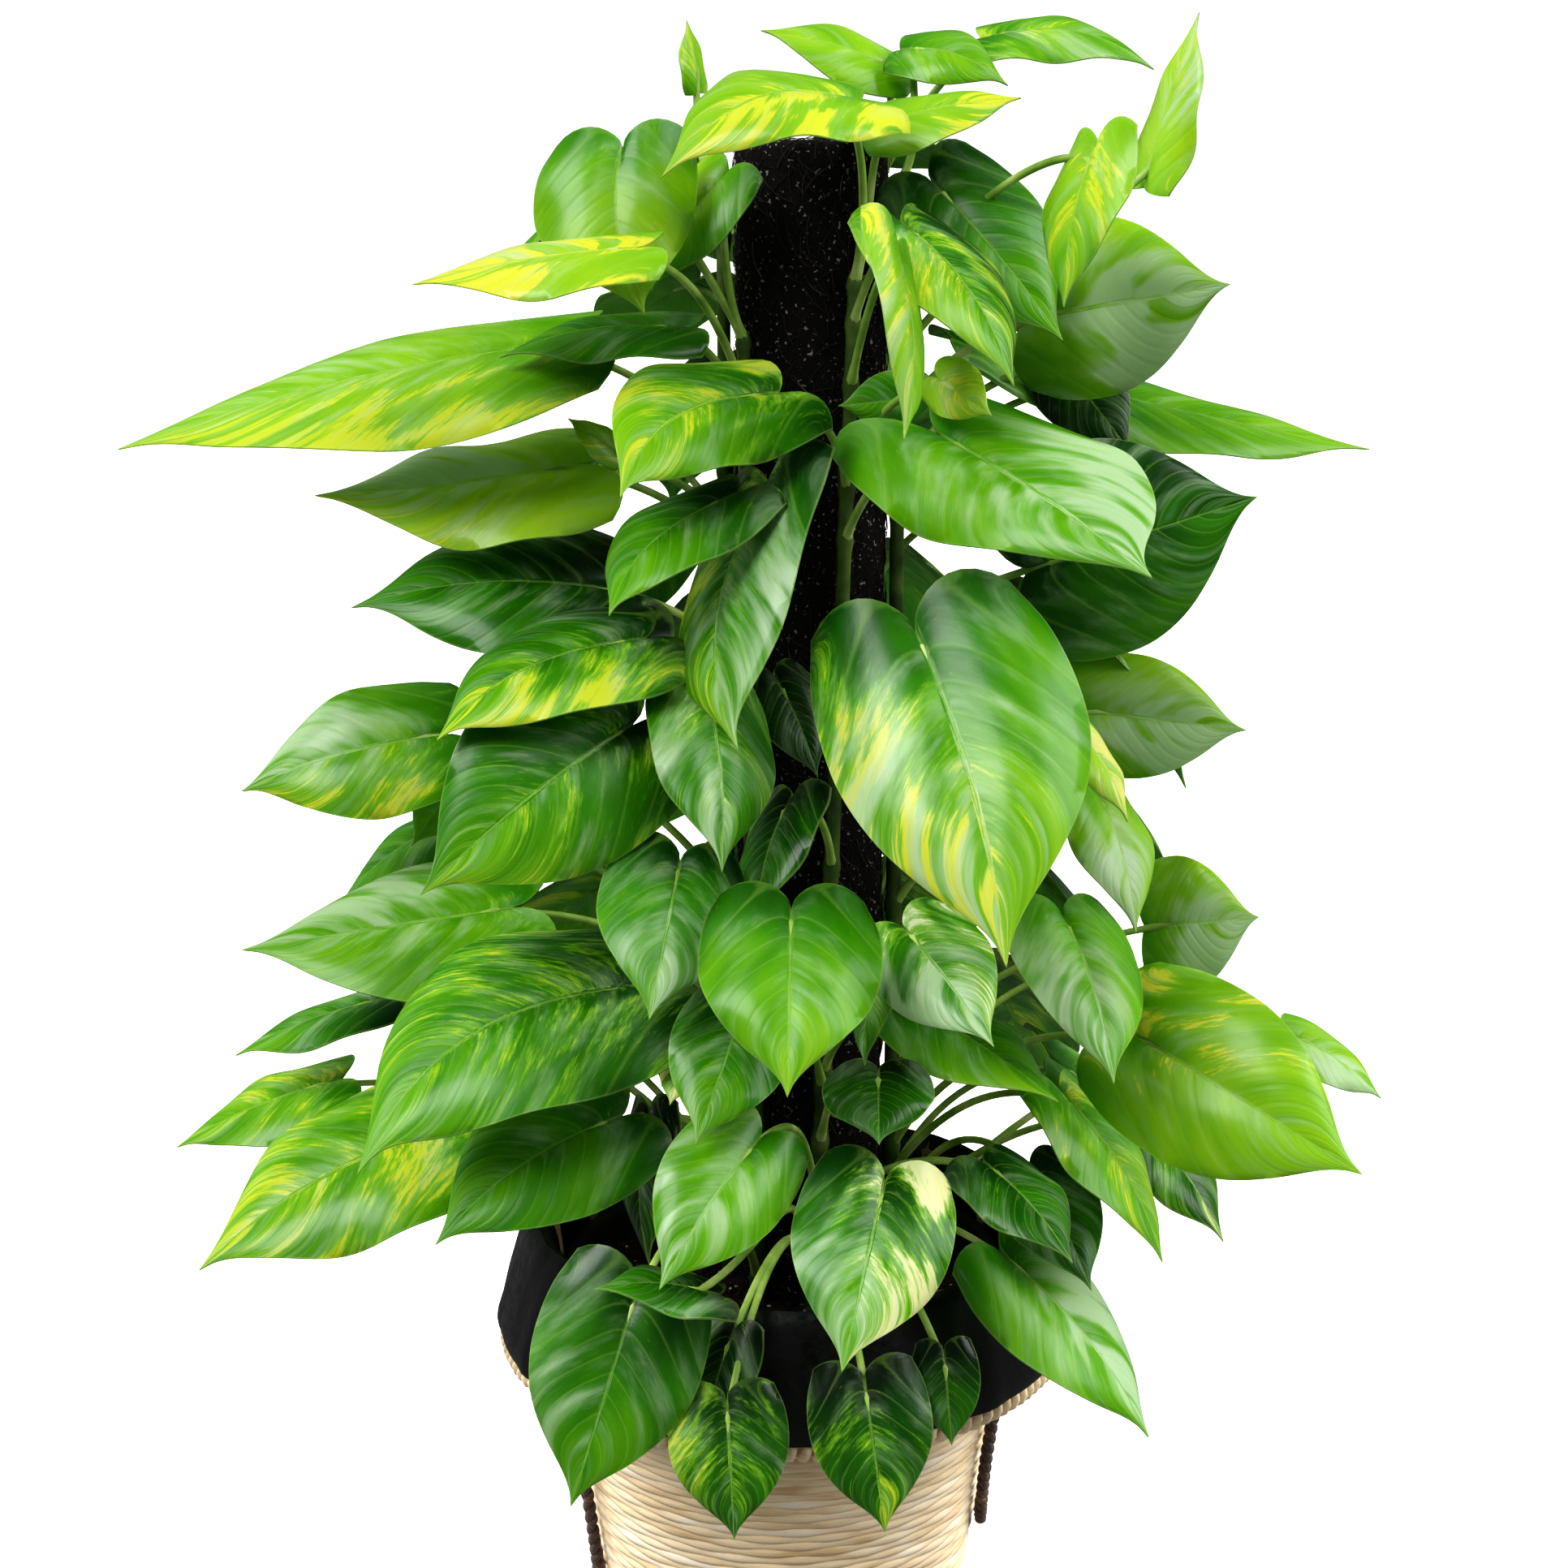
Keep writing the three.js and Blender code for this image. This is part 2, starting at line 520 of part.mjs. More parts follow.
// A thin closed blade: two sheets that are split into triangles alike, and the edge between them.
// Every blade has the lobes of its base, and a small one is plainer beyond them.
function blade(leaf) {
  const upper = [];
  const large = leaf.width > LARGE_BLADE_WIDTH;
  const shares = large ? LARGE_BLADE_ROWS : SMALL_BLADE_ROWS;
  const rows = shares.map((share, index) => {
    const fine = index === 0 || (large && index < shares.length - 1);
    const columns = fine ? FINE_COLUMNS : PLAIN_COLUMNS;
    return columns.map((across) => upper.push(bladePoint(leaf, share, across)) - 1);
  });
  rows.push([upper.push(bladePoint(leaf, 1, 0)) - 1]);
  const lower = upper.map((point) => point.clone().addScaledVector(leaf.normal, -BLADE_THICKNESS));
  const faces = rows.slice(1).flatMap((next, index) => strip(rows[index], next));
  const under = faces.map(([a, b, c]) => [c, b, a].map((corner) => corner + upper.length));
  const right = rows.slice(1).map((row) => row.at(-1));
  const left = rows.slice(1, -1).map((row) => row[0]).reverse();
  const edge = [...rows[0], ...right, ...left];
  const rim = edge.flatMap((a, index) => {
    const b = edge[(index + 1) % edge.length];
    return [[b, a, a + upper.length], [b, a + upper.length, b + upper.length]];
  });
  const geometry = new THREE.BufferGeometry().setFromPoints([...upper, ...lower]);
  geometry.setIndex([...faces, ...under, ...rim].flat());
  return geometry;
}

// Stems and leaf stalks

function stemAzimuth(name, height) {
  const { from, to, top } = VINES[name];
  const climbed = THREE.MathUtils.clamp((height - SOIL_HEIGHT) / (top - SOIL_HEIGHT), 0, 1);
  return from + (to - from) * climbed;
}

function stemPoint(name, height) {
  const azimuth = THREE.MathUtils.degToRad(stemAzimuth(name, height));
  const radius = POLE_RADIUS + STEM_POLE_GAP + STEM_RADIUS;
  return new THREE.Vector3(POLE_X + radius * Math.cos(azimuth), radius * Math.sin(azimuth), height);
}

function stem(name) {
  const points = [];
  for (let step = 0; step <= STEM_STEPS; step += 1) {
    points.push(stemPoint(name, STEM_FOOT + ((VINES[name].top - STEM_FOOT) * step) / STEM_STEPS));
  }
  return rod(new THREE.CatmullRomCurve3(points), STEM_RADIUS, STEM_SIDES, STEM_STEPS);
}

function nearestVine(leaf) {
  const { radToDeg, euclideanModulo } = THREE.MathUtils;
  const azimuth = radToDeg(Math.atan2(leaf.base.y, leaf.base.x - POLE_X));
  const gap = (name) => {
    const turn = azimuth - stemAzimuth(name, leaf.base.z);
    return Math.abs(euclideanModulo(turn + 180, 360) - 180);
  };
  return Object.keys(VINES).reduce((best, name) => (gap(name) < gap(best) ? name : best));
}

// A stalk rises from the stem, bows over and comes to the blade from below.
function stalk(leaf, vine) {
  const outward = new THREE.Vector3(leaf.base.x - POLE_X, leaf.base.y, 0);
  const reach = outward.length() - POLE_RADIUS;
  outward.normalize();
  const node = Math.max(STALK_LOWEST, leaf.base.z - NODE_DROP * reach - NODE_BELOW);
  const start = stemPoint(vine, Math.min(VINES[vine].top - STALK_TOP_GAP, node));
  const end = midribPoint(leaf, STALK_OVERLAP / leaf.length).addScaledVector(leaf.normal, -STALK_DEPTH);
  const span = start.distanceTo(end);
  const overRim = leaf.base.z < FOLD_HEIGHT + NEAR_FOLD && reach > NEAR_FOLD;
  const rise = overRim ? STALK_RISE_OVER_RIM : STALK_RISE;
  const first = start.clone().addScaledVector(outward, STALK_SPREAD * span).addScaledVector(UP, rise * span);
  const second = end.clone().lerp(first, STALK_RETURN).addScaledVector(leaf.along, -STALK_RUN_IN * span);
  const curve = new THREE.CubicBezierCurve3(start, first, second, end);
  return rod(curve, STALK_RADIUS, STALK_SIDES, STALK_STEPS);
}

// The stem with its stalks and blades as one body: hollows that the joining seals are filled,
// and crumbs are dropped.
function leafyStem(name, leaves) {
  const pieces = [stem(name)];
  for (const leaf of leaves) pieces.push(stalk(leaf, name), blade(leaf));
  const bodies = joined(pieces).decompose().sort((a, b) => b.volume() - a.volume());
  if (bodies.length > 1 && bodies[1].volume() > LARGEST_CRUMB) throw new Error(`${name} has a loose leaf`);
  return toGeometry(bodies[0]);
}

// The whole plant

const group = new THREE.Group();

function place(name, geometry, look) {
  const mesh = new THREE.Mesh(geometry, look);
  mesh.name = name;
  group.add(mesh);
}

place('basket', basket(), material(0xdcc8a4, 0.85));
place('lining', lining(), material(0x0e0e10, 0.4));
place('handle_right', handle(RIGHT_LOOP), material(0x3b2416, 0.8));
place('handle_left', handle(LEFT_LOOP), material(0x3b2416, 0.8));
place('grow_pot', growPot(), material(0x2a2420, 0.6));
place('soil', soil(), material(0x2c2018, 0.95));
place('pole_core', poleCore(), material(0x8a6a48, 0.8));
place('coir_sleeve', coirSleeve(), material(0x1c1410, 0.95));

const leaves = [...CROWN_LEAVES, ...UPPER_LEAVES, ...MIDDLE_LEAVES, ...LOWER_LEAVES].map(seenLeaf);
for (let index = 0; index < REAR_LEAF_COUNT; index += 1) leaves.push(rearLeaf(index));
for (const leaf of leaves) leaf.vine = leaf.vine ?? nearestVine(leaf);
for (const name of Object.keys(VINES)) {
  const own = leaves.filter((leaf) => leaf.vine === name);
  place(`vine_${name}`, leafyStem(name, own), material(0x3f8f1f, 0.35));
}

export default group;
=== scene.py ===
"""Potted pothos on a coir pole, in a woven basket with a folded, film-lined rim.

Metres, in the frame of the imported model: +Z up, -Y toward the viewer, and the origin at the centre
of the basket's flat base. Sizes are named in millimetres and turned to metres by MM.
"""

import math
from types import SimpleNamespace

import bpy
import numpy as np
from mathutils import Matrix, Vector


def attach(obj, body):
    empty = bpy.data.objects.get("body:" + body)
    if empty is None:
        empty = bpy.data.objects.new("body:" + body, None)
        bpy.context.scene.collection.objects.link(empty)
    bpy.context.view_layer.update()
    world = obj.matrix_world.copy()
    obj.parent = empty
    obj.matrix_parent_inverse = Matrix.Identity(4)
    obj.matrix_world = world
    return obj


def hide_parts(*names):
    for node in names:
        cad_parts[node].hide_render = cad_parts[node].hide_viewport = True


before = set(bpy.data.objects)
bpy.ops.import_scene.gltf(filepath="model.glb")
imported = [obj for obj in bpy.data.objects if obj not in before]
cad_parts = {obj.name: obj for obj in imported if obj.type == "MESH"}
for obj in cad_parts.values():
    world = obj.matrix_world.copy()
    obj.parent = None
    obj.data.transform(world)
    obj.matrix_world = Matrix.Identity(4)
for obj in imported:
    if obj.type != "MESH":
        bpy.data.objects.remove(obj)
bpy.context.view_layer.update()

MM = 0.001
TURN = 2 * math.pi
UP = Vector((0, 0, 1))

# The view in the photograph, which also places each leaf that it shows: a square image, its focal
# length and its centre in pixels, and where the eye stands.
IMAGE_PIXELS = 1932
FOCAL_PIXELS = 3349.5
SENSOR = 36
EYE = Vector((0, -1.3, 0.8154))
LOOK_DOWN = math.radians(14)

# The basket's wall, lined face and hem in section, the pole and the stems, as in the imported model
WALL_LINE = [(83, 0), (93, 62), (112, 185), (120.5, 252)]
LINED_FACE = [
    (0, 5), (79, 5), (89, 62), (108, 185), (116.5, 253), (120, 261.5), (124, 267), (127, 268.2),
    (130, 265.5), (134, 253), (140, 234), (145, 216), (145.2, 212), (144.5, 209),
]
HEM_FACE = [
    (143, 204), (140, 201), (136, 201.5), (134.5, 205), (137, 211), (136, 230), (129, 250), (124, 259),
]
POLE_X = 13
POLE_RADIUS = 37
POLE_CORE_RADIUS = 20
POLE_FOOT = 30
POLE_TOP = 800
SOIL_HEIGHT = 230
FOLD_HEIGHT = 268.5
STEM_RADIUS = 4.2
STEM_GAP = 0.4
STEM_FOOT = 150


# Nodes and trees, and the kinds of node that come up most

MATH, VECTOR_MATH, NOISE, RAMP, RANGE, MIX = (
    "ShaderNodeMath", "ShaderNodeVectorMath", "ShaderNodeTexNoise", "ShaderNodeValToRGB", "ShaderNodeMapRange",
    "ShaderNodeMix",
)


def linear(code):
    """A colour for a socket from its sRGB hex value."""
    shares = [int(code[place:place + 2], 16) / 255 for place in (1, 3, 5)]
    return tuple(c / 12.92 if c <= 0.04045 else ((c + 0.055) / 1.055) ** 2.4 for c in shares) + (1.0,)


def add(tree, kind, sockets=(), stops=None, **settings):
    """Adds a node: its settings, then each socket's value or what is linked into it. Sockets are a list
    from the first one on, or go by name or number. Stops are a ramp's places and colours."""
    node = tree.nodes.new(kind)
    for name, value in settings.items():
        setattr(node, name, value)
    for key, value in sockets.items() if isinstance(sockets, dict) else enumerate(sockets):
        source = value.outputs[0] if isinstance(value, bpy.types.Node) else value
        if isinstance(source, bpy.types.NodeSocket):
            tree.links.new(source, node.inputs[key])
        else:
            node.inputs[key].default_value = source
    if stops:
        ramp = node.color_ramp
        while len(ramp.elements) < len(stops):
            ramp.elements.new(1.0)
        for element, (place, code) in zip(ramp.elements, stops):
            element.position = place
            element.color = linear(code)
    return node


def new_finish(name):
    """An empty material and its tree."""
    finish = bpy.data.materials.new(name)
    finish.use_nodes = True
    tree = finish.node_tree
    tree.nodes.clear()
    return finish, tree


def grained_finish(name, *grains):
    """An empty material, its tree, the object's coordinates, and a noise for each grain, which is its size
    in millimetres and its other sockets."""
    finish, tree = new_finish(name)
    where = add(tree, "ShaderNodeTexCoord").outputs["Object"]
    noises = [add(tree, NOISE, {"Vector": where, "Scale": 1 / (size * MM), **sockets})
              for size, sockets in grains]
    return finish, tree, where, noises


def finish_with(finish, colour, roughness, index, relief=None, more=None):
    """Ends a material: one Principled shader on the output, with its colour, roughness and index of
    refraction. Relief is a bump's strength, its depth in millimetres and the height that it follows."""
    tree = finish.node_tree
    sockets = {"Base Color": colour, "Roughness": roughness, "IOR": index, **(more or {})}
    if relief:
        strength, depth, height = relief
        sockets["Normal"] = add(tree, "ShaderNodeBump", {
            "Strength": strength, "Distance": depth * MM, "Height": height})
    add(tree, "ShaderNodeOutputMaterial", {"Surface": add(tree, "ShaderNodeBsdfPrincipled", sockets)})
    return finish


SOCKET_KINDS = {int: "NodeSocketInt", float: "NodeSocketFloat"}


def new_rule(name, numbers):
    """An empty Geometry Nodes tree that takes a mesh, numbers with their first values, and a material."""
    rule = bpy.data.node_groups.new(name, "GeometryNodeTree")
    rule.interface.new_socket("Geometry", in_out="INPUT", socket_type="NodeSocketGeometry")
    for label, value in numbers.items():
        socket = rule.interface.new_socket(label, in_out="INPUT", socket_type=SOCKET_KINDS[type(value)])
        socket.default_value = value
    rule.interface.new_socket("Material", in_out="INPUT", socket_type="NodeSocketMaterial")
    rule.interface.new_socket("Geometry", in_out="OUTPUT", socket_type="NodeSocketGeometry")
    return rule, add(rule, "NodeGroupInput").outputs


def end_rule(rule, given, geometry):
    """Ends a tree: smooth faces, real geometry in place of instances, and the material."""
    smooth = add(rule, "GeometryNodeSetShadeSmooth", {"Geometry": geometry})
    real = add(rule, "GeometryNodeRealizeInstances", [smooth])
    painted = add(rule, "GeometryNodeSetMaterial", {"Geometry": real, "Material": given["Material"]})
    add(rule, "NodeGroupOutput", [painted])
    return rule


def grow(piece, rule, values):
    """Runs a tree on a piece and keeps the result as the piece's plain mesh."""
    modifier = piece.modifiers.new("rule", "NODES")
    modifier.node_group = rule
    for socket in rule.interface.items_tree:
        if socket.in_out == "INPUT" and socket.name in values:
            modifier[socket.identifier] = values[socket.name]
    graph = bpy.context.evaluated_depsgraph_get()
    mesh = bpy.data.meshes.new_from_object(piece.evaluated_get(graph), depsgraph=graph)
    piece.modifiers.remove(modifier)
    piece.data = mesh
    mesh.name = piece.name
    return piece


# Meshes

def new_piece(name, points, faces=(), edges=(), values=None, finish=None, sharp=0):
    """A mesh object at the origin. Values holds the points' attributes, and sharp is an angle in degrees."""
    mesh = bpy.data.meshes.new(name)
    mesh.from_pydata(*([tuple(item) for item in items] for items in (points, edges, faces)))
    for label, rows in (values or {}).items():
        rows = np.asarray(rows, dtype=np.float32)
        kind, field = ("FLOAT", "value") if rows.ndim == 1 else ("FLOAT_VECTOR", "vector")
        mesh.attributes.new(label, kind, "POINT").data.foreach_set(field, rows.ravel())
    mesh.validate()
    if len(faces):
        mesh.shade_smooth()
        if sharp:
            mesh.set_sharp_from_angle(angle=math.radians(sharp))
    if finish:
        mesh.materials.append(finish)
    piece = bpy.data.objects.new(name, mesh)
    bpy.context.scene.collection.objects.link(piece)
    return piece


def turned(profile, sides, middle=0.0, wobble=None):
    """Points and faces of a closed solid of revolution. The profile, in millimetres, runs with the solid
    on its left, and a point on the axis is one pole. Middle is the axis's x, and wobble moves the points
    out and up, given their angles and their place in the profile."""
    points = []
    rings = []
    angles = np.arange(sides) * TURN / sides
    for place, (radius, height) in enumerate(profile):
        first = len(points)
        if radius == 0:
            points.append((middle * MM, 0.0, height * MM))
            rings.append([first] * sides)
            continue
        out, up = wobble(angles, place) if wobble else (0.0, 0.0)
        out = radius + out * np.ones(sides)
        up = height + up * np.ones(sides)
        points += [((middle + r * math.cos(a)) * MM, r * math.sin(a) * MM, z * MM)
                   for a, r, z in zip(angles, out, up)]
        rings.append(list(range(first, first + sides)))
    faces = []
    closed = profile[0][0] > 0 or profile[-1][0] > 0
    for ring, after in zip(rings, rings[1:] + rings[:1] if closed else rings[1:]):
        for side in range(sides):
            beside = (side + 1) % sides
            corners = [ring[side], ring[beside], after[beside], after[side]]
            face = [c for index, c in enumerate(corners) if c != corners[index - 1]]
            if len(face) > 2:
                faces.append(face)
    return points, faces


def along_line(line, count):
    """A line through given points, cut to an even count of points."""
    line = np.array(line, dtype=float)
    reach = np.concatenate([[0], np.cumsum(np.linalg.norm(np.diff(line, axis=0), axis=1))])
    wanted = np.linspace(0, reach[-1], count)
    return np.stack([np.interp(wanted, reach, line[:, axis]) for axis in range(line.shape[1])], axis=1)


def moved(line, distance):
    """A profile moved sideways by a distance, to the left of its direction."""
    line = np.array(line, dtype=float)
    step = np.gradient(line, axis=0)
    step /= np.linalg.norm(step, axis=1)[:, None]
    line = line + np.stack([-step[:, 1], step[:, 0]], axis=1) * distance
    line[:, 0] = np.maximum(line[:, 0], 0)
    return line


def chain(first, count):
    """The edges of an open line of points, counted from its first one."""
    return [(index, index + 1) for index in range(first, first + count - 1)]


# The leaves. Each row gives base and tip in photo pixels, width across in photo pixels, how far the base
# and the tip lie toward the viewer from the basket's axis in millimetres, and what sets the leaf apart.
# Shape: arch, bend, lobe, plump, skew and the vine it grows on. Colour, in order: tone runs from dark green
# at 0 to lime at 1, its darker steps partly the leaves' own darker green and partly painted shade on leaves
# deep among the others; rise is how much the tone rises from base to tip, mostly painted shade on bases under
# the leaves above and, where it is negative, the leaf's own paler base; the next shifts the tone from the
# midrib to one edge, as painted shade that leaves one half of the blade lighter than the other; the next is
# how much pale sheen, a painted highlight, lies on the blade, more toward the edge that its sign names.
# Streak is how much is streaked, cream how pale the streaks are, and side and tip say toward which edge and
# which end they gather.
SHADED, DEEP, MID, FRESH, LIME, PALE = 0.12, 0.28, 0.45, 0.6, 0.76, 0.92
USUAL_LEAF = dict(plump=0.7, arch=0.08, bend=0, lobe=0.15, skew=0, vine=None,
                  tone=MID, rise=0, split=0, painted_sheen=0, streak=0.12, cream=0.3, side=0, tip=0)
SEEN_LEAVES = [
    # the crown
    ((862, 112), (847, 25), 30, (-20, -20), dict(arch=0.02, lobe=0.05, tone=LIME, streak=0.45, cream=0.1)),
    ((1050, 132), (815, 218), 112, (64, 120), dict(arch=0.2, tone=LIME, streak=0.6, cream=0.25, side=-0.4)),
    ((768, 182), (795, 388), 205, (60, 90), dict(arch=0.06, bend=0.1, tone=LIME, rise=0.3, streak=0.25, tip=0.4)),
    ((780, 306), (508, 350), 62, (120, 125), dict(arch=0.03, tone=PALE, painted_sheen=0.3, streak=0.85, cream=0.4)),
    ((1100, 85), (938, 37), 62, (-20, -10), dict(arch=0.06, tone=LIME, streak=0.3)),
    ((1112, 62), (1242, 105), 70, (-10, 10), dict(arch=0.15, lobe=0.08, tone=FRESH, streak=0.2)),
    ((1075, 155), (1258, 120), 62, (40, 44), dict(arch=0.04, lobe=0.08, tone=LIME, streak=0.6, cream=0.3, tip=1)),
    ((1215, 48), (1422, 85), 50, (-30, -20),
     dict(arch=0.14, lobe=0.08, tone=FRESH, painted_sheen=0.2, streak=0.3, cream=0, tip=-0.8)),
    ((1410, 228), (1477, 15), 62, (-20, -20), dict(arch=0.02, lobe=0.04, tone=PALE, painted_sheen=0.4, streak=0.45)),
    ((1350, 180), (1310, 378), 95, (80, 110), dict(arch=0.06, tone=LIME, rise=-0.3, streak=0.5, cream=0.2)),
    ((1150, 225), (1310, 420), 170, (30, 60), dict(arch=0.06, tone=MID, rise=0.3, streak=0.05)),
    ((893, 215), (802, 358), 90, (40, 55), dict(tone=LIME, split=0.3)),
    # the upper leaves
    ((672, 425), (145, 553), 118, (40, 60),
     dict(arch=0.03, plump=0.6, tone=LIME, painted_sheen=0.3, streak=0.35, cream=0.15, side=-0.8)),
    ((838, 405), (615, 440), 55, (70, 75), dict(tone=MID, streak=0)),
    ((955, 488), (764, 613), 172, (105, 170),
     dict(arch=0.04, bend=0.16, tone=FRESH, rise=0.3, streak=0.5, cream=0.2)),
    ((1165, 540), (1420, 712), 225, (100, 190),
     dict(arch=0.04, lobe=0.24, skew=0.5, tone=FRESH, painted_sheen=-0.8, streak=0.08)),
    ((1115, 280), (1250, 475), 115, (90, 140), dict(arch=0.1, tone=MID, split=0.3, streak=0.4, cream=0.3)),
    ((1105, 310), (1115, 540), 55, (130, 186), dict(arch=0.06, tone=LIME, painted_sheen=0.2, streak=0.5, cream=0.4)),
    ((1135, 490), (1032, 500), 75, (60, 68), dict(arch=0.02, tone=MID, streak=0.1)),
    ((1155, 465), (1222, 512), 75, (96, 122), dict(arch=0.06, tone=PALE, streak=0.4)),
    ((1275, 390), (1517, 350), 225, (20, 40), dict(arch=0.04, tone=LIME, painted_sheen=1.8, streak=0.1)),
    ((1310, 470), (1688, 553), 72, (-18, -18),
     dict(arch=-0.01, lobe=0.08, plump=0.45, tone=FRESH, rise=0.3, streak=0.1)),
    ((1300, 440), (1395, 560), 110, (-4, 22), dict(arch=0.06, tone=SHADED, streak=0)),
    ((1275, 700), (1550, 612), 270, (60, 60), dict(arch=0.04, tone=DEEP, split=0.15, streak=0.03)),
    ((945, 605), (908, 922), 150, (100, 178),
     dict(arch=0.06, bend=0.12, vine="front_left",
          tone=MID, rise=0.3, painted_sheen=-0.5, streak=0.35, cream=0.25, side=0.6)),
    ((905, 612), (750, 758), 108, (118, 166), dict(arch=0.04, bend=0.14, tone=MID, rise=0.3, streak=0.08)),
    ((712, 572), (388, 610), 132, (40, 60), dict(arch=-0.02, tone=PALE, painted_sheen=1, streak=0.35, cream=0.4, tip=0.5)),
    ((762, 560), (700, 515), 40, (40, 40), dict(arch=0.06, tone=LIME, streak=0.4)),
    ((775, 732), (433, 748), 174, (50, 70), dict(arch=0.1, tone=DEEP, rise=0.3, streak=0.03)),
    # the middle leaves
    ((1330, 875), (1537, 900), 155, (20, 30), dict(arch=0.04, tone=LIME, painted_sheen=1.8, streak=0.1)),
    ((1128, 780), (1240, 1192), 330, (150, 235),
     dict(arch=0.06, bend=-0.04, tone=FRESH, rise=0.3, painted_sheen=0.5, streak=0.5, cream=0.35, side=0.8, tip=1)),
    ((790, 790), (538, 912), 136, (116, 160),
     dict(arch=0.04, bend=0.12, tone=MID, rise=0.3, split=-0.15, streak=0.4, cream=0.2, side=-0.7, tip=0.6)),
    ((545, 905), (297, 975), 162, (30, 40), dict(arch=0.1, tone=FRESH, painted_sheen=0.5, streak=0.28, side=-0.8)),
    ((570, 960), (507, 1042), 70, (0, 20), dict(tone=FRESH)),
    ((780, 893), (518, 1103), 258, (120, 170),
     dict(bend=0.03, tone=MID, rise=0.3, split=-0.15, streak=0.26, side=-0.8)),
    ((560, 1010), (420, 1112), 60, (-16, -12), dict(tone=MID, streak=0.03)),
    ((630, 1118), (298, 1170), 165, (50, 70), dict(arch=0, vine="left", tone=FRESH, painted_sheen=0.5, streak=0.2)),
    ((838, 1060), (800, 1256), 185, (140, 195), dict(tone=MID, rise=0.3, painted_sheen=-0.5, streak=0.06)),
    ((872, 855), (890, 1074), 155, (115, 170), dict(tone=MID, painted_sheen=0.5, streak=0.3, cream=0.8)),
    ((975, 1120), (970, 1352), 230, (182, 240), dict(tone=FRESH, rise=0.3, streak=0.04)),
    ((915, 1245), (857, 1410), 150, (152, 203), dict(tone=MID, rise=0.3, painted_sheen=0.2, streak=0.15)),
    ((1115, 1145), (1225, 1290), 150, (130, 190), dict(tone=MID, painted_sheen=1.2, streak=0.4, cream=0.9)),
    ((1125, 1240), (1304, 1357), 98, (110, 165), dict(arch=0.03, tone=MID, rise=0.3, split=0.15, streak=0.1)),
    ((1310, 1130), (1373, 1335), 145, (110, 175), dict(tone=FRESH, painted_sheen=0.8, streak=0.05)),
    ((1350, 975), (1400, 1150), 95, (60, 100), dict(tone=LIME, painted_sheen=1.2)),
    ((1318, 890), (1390, 1012), 50, (90, 110), dict(tone=PALE, streak=0.8, cream=0.6)),
    ((1412, 1142), (1552, 1130), 170, (20, 30), dict(lobe=0.06, tone=LIME, painted_sheen=1.2, streak=0.25, cream=0.7)),
    ((975, 985), (932, 1137), 85, (106, 150), dict(tone=DEEP, rise=0.3, streak=0.05)),
    ((955, 835), (1008, 958), 90, (75, 100), dict(tone=SHADED, streak=0)),
    ((1082, 1210), (1065, 1312), 45, (140, 165), dict(tone=MID, painted_sheen=0.4, streak=0.3, cream=1)),
    # the lower leaves
    ((470, 1232), (290, 1300), 50, (10, 20), dict(arch=0.05, tone=MID, rise=0.3, painted_sheen=0.2)),
    ((785, 1220), (440, 1447), 242, (130, 190),
     dict(arch=0.05, bend=0.16, tone=MID, rise=0.3, streak=0.3, side=0.2)),
    ((540, 1395), (245, 1565), 185, (60, 100), dict(arch=0.05, bend=0.05, tone=FRESH, streak=0.5, cream=0.2)),
    ((412, 1332), (218, 1413), 80, (5, 18), dict(arch=0.05, tone=FRESH, streak=0.4)),
    ((762, 1378), (536, 1534), 182, (120, 170), dict(arch=0.05, bend=0.06, tone=MID, streak=0.05)),
    ((1400, 1275), (1680, 1448), 235, (90, 150), dict(tone=LIME, streak=0.25, cream=0.4, side=-0.8, tip=-0.8)),
    ((1590, 1275), (1702, 1353), 60, (10, 20), dict(tone=LIME, painted_sheen=1)),
    ((1310, 1350), (1433, 1555), 85, (80, 130), dict(tone=FRESH, streak=0.4)),
    ((1395, 1375), (1508, 1530), 90, (48, 84), dict(tone=DEEP, streak=0.3, cream=0.8, tip=0.8)),
    ((1215, 1435), (1322, 1556), 100, (130, 180), dict(tone=DEEP)),
    ((1270, 1440), (1345, 1590), 120, (90, 140), dict(tone=DEEP, streak=0.03)),
    ((1240, 1550), (1416, 1771), 130, (110, 150), dict(tone=FRESH, painted_sheen=-1, streak=0.1)),
    ((935, 1405), (812, 1590), 165, (175, 225), dict(bend=0.03, tone=FRESH, painted_sheen=0.8, streak=0.2, cream=0.7)),
    ((1090, 1455), (1037, 1691), 202, (185, 240),
     dict(tone=MID, rise=0.3, painted_sheen=0.4, streak=0.36, cream=0.8, side=-1, tip=-0.2)),
    ((1082, 1318), (1083, 1410), 140, (160, 195), dict(tone=DEEP, rise=0.3, streak=0.1)),
    ((785, 1590), (703, 1857), 215, (165, 190), dict(tone=MID, rise=0.3, painted_sheen=0.2, streak=0.04)),
    ((880, 1595), (733, 1588), 60, (192, 215), dict(tone=DEEP, rise=0.3, streak=0.05)),
    ((800, 1375), (800, 1560), 70, (105, 130), dict(tone=SHADED, streak=0.15, cream=0.9)),
    ((845, 1300), (825, 1362), 50, (140, 160), dict(tone=LIME, streak=0.9, cream=0.7)),
    ((895, 1725), (905, 1897), 150, (175, 190), dict(tone=DEEP, streak=0.3, cream=0.3, side=0.3)),
    ((1065, 1700), (1091, 1889), 154, (175, 190),
     dict(tone=DEEP, rise=0.3, streak=0.32, cream=0.2, side=0.3, tip=0.6)),
    ((1163, 1665), (1173, 1782), 85, (165, 175), dict(tone=DEEP, rise=0.3, streak=0.06)),
    ((905, 1640), (870, 1770), 80, (150, 165), dict(tone=SHADED, streak=0.06)),
]

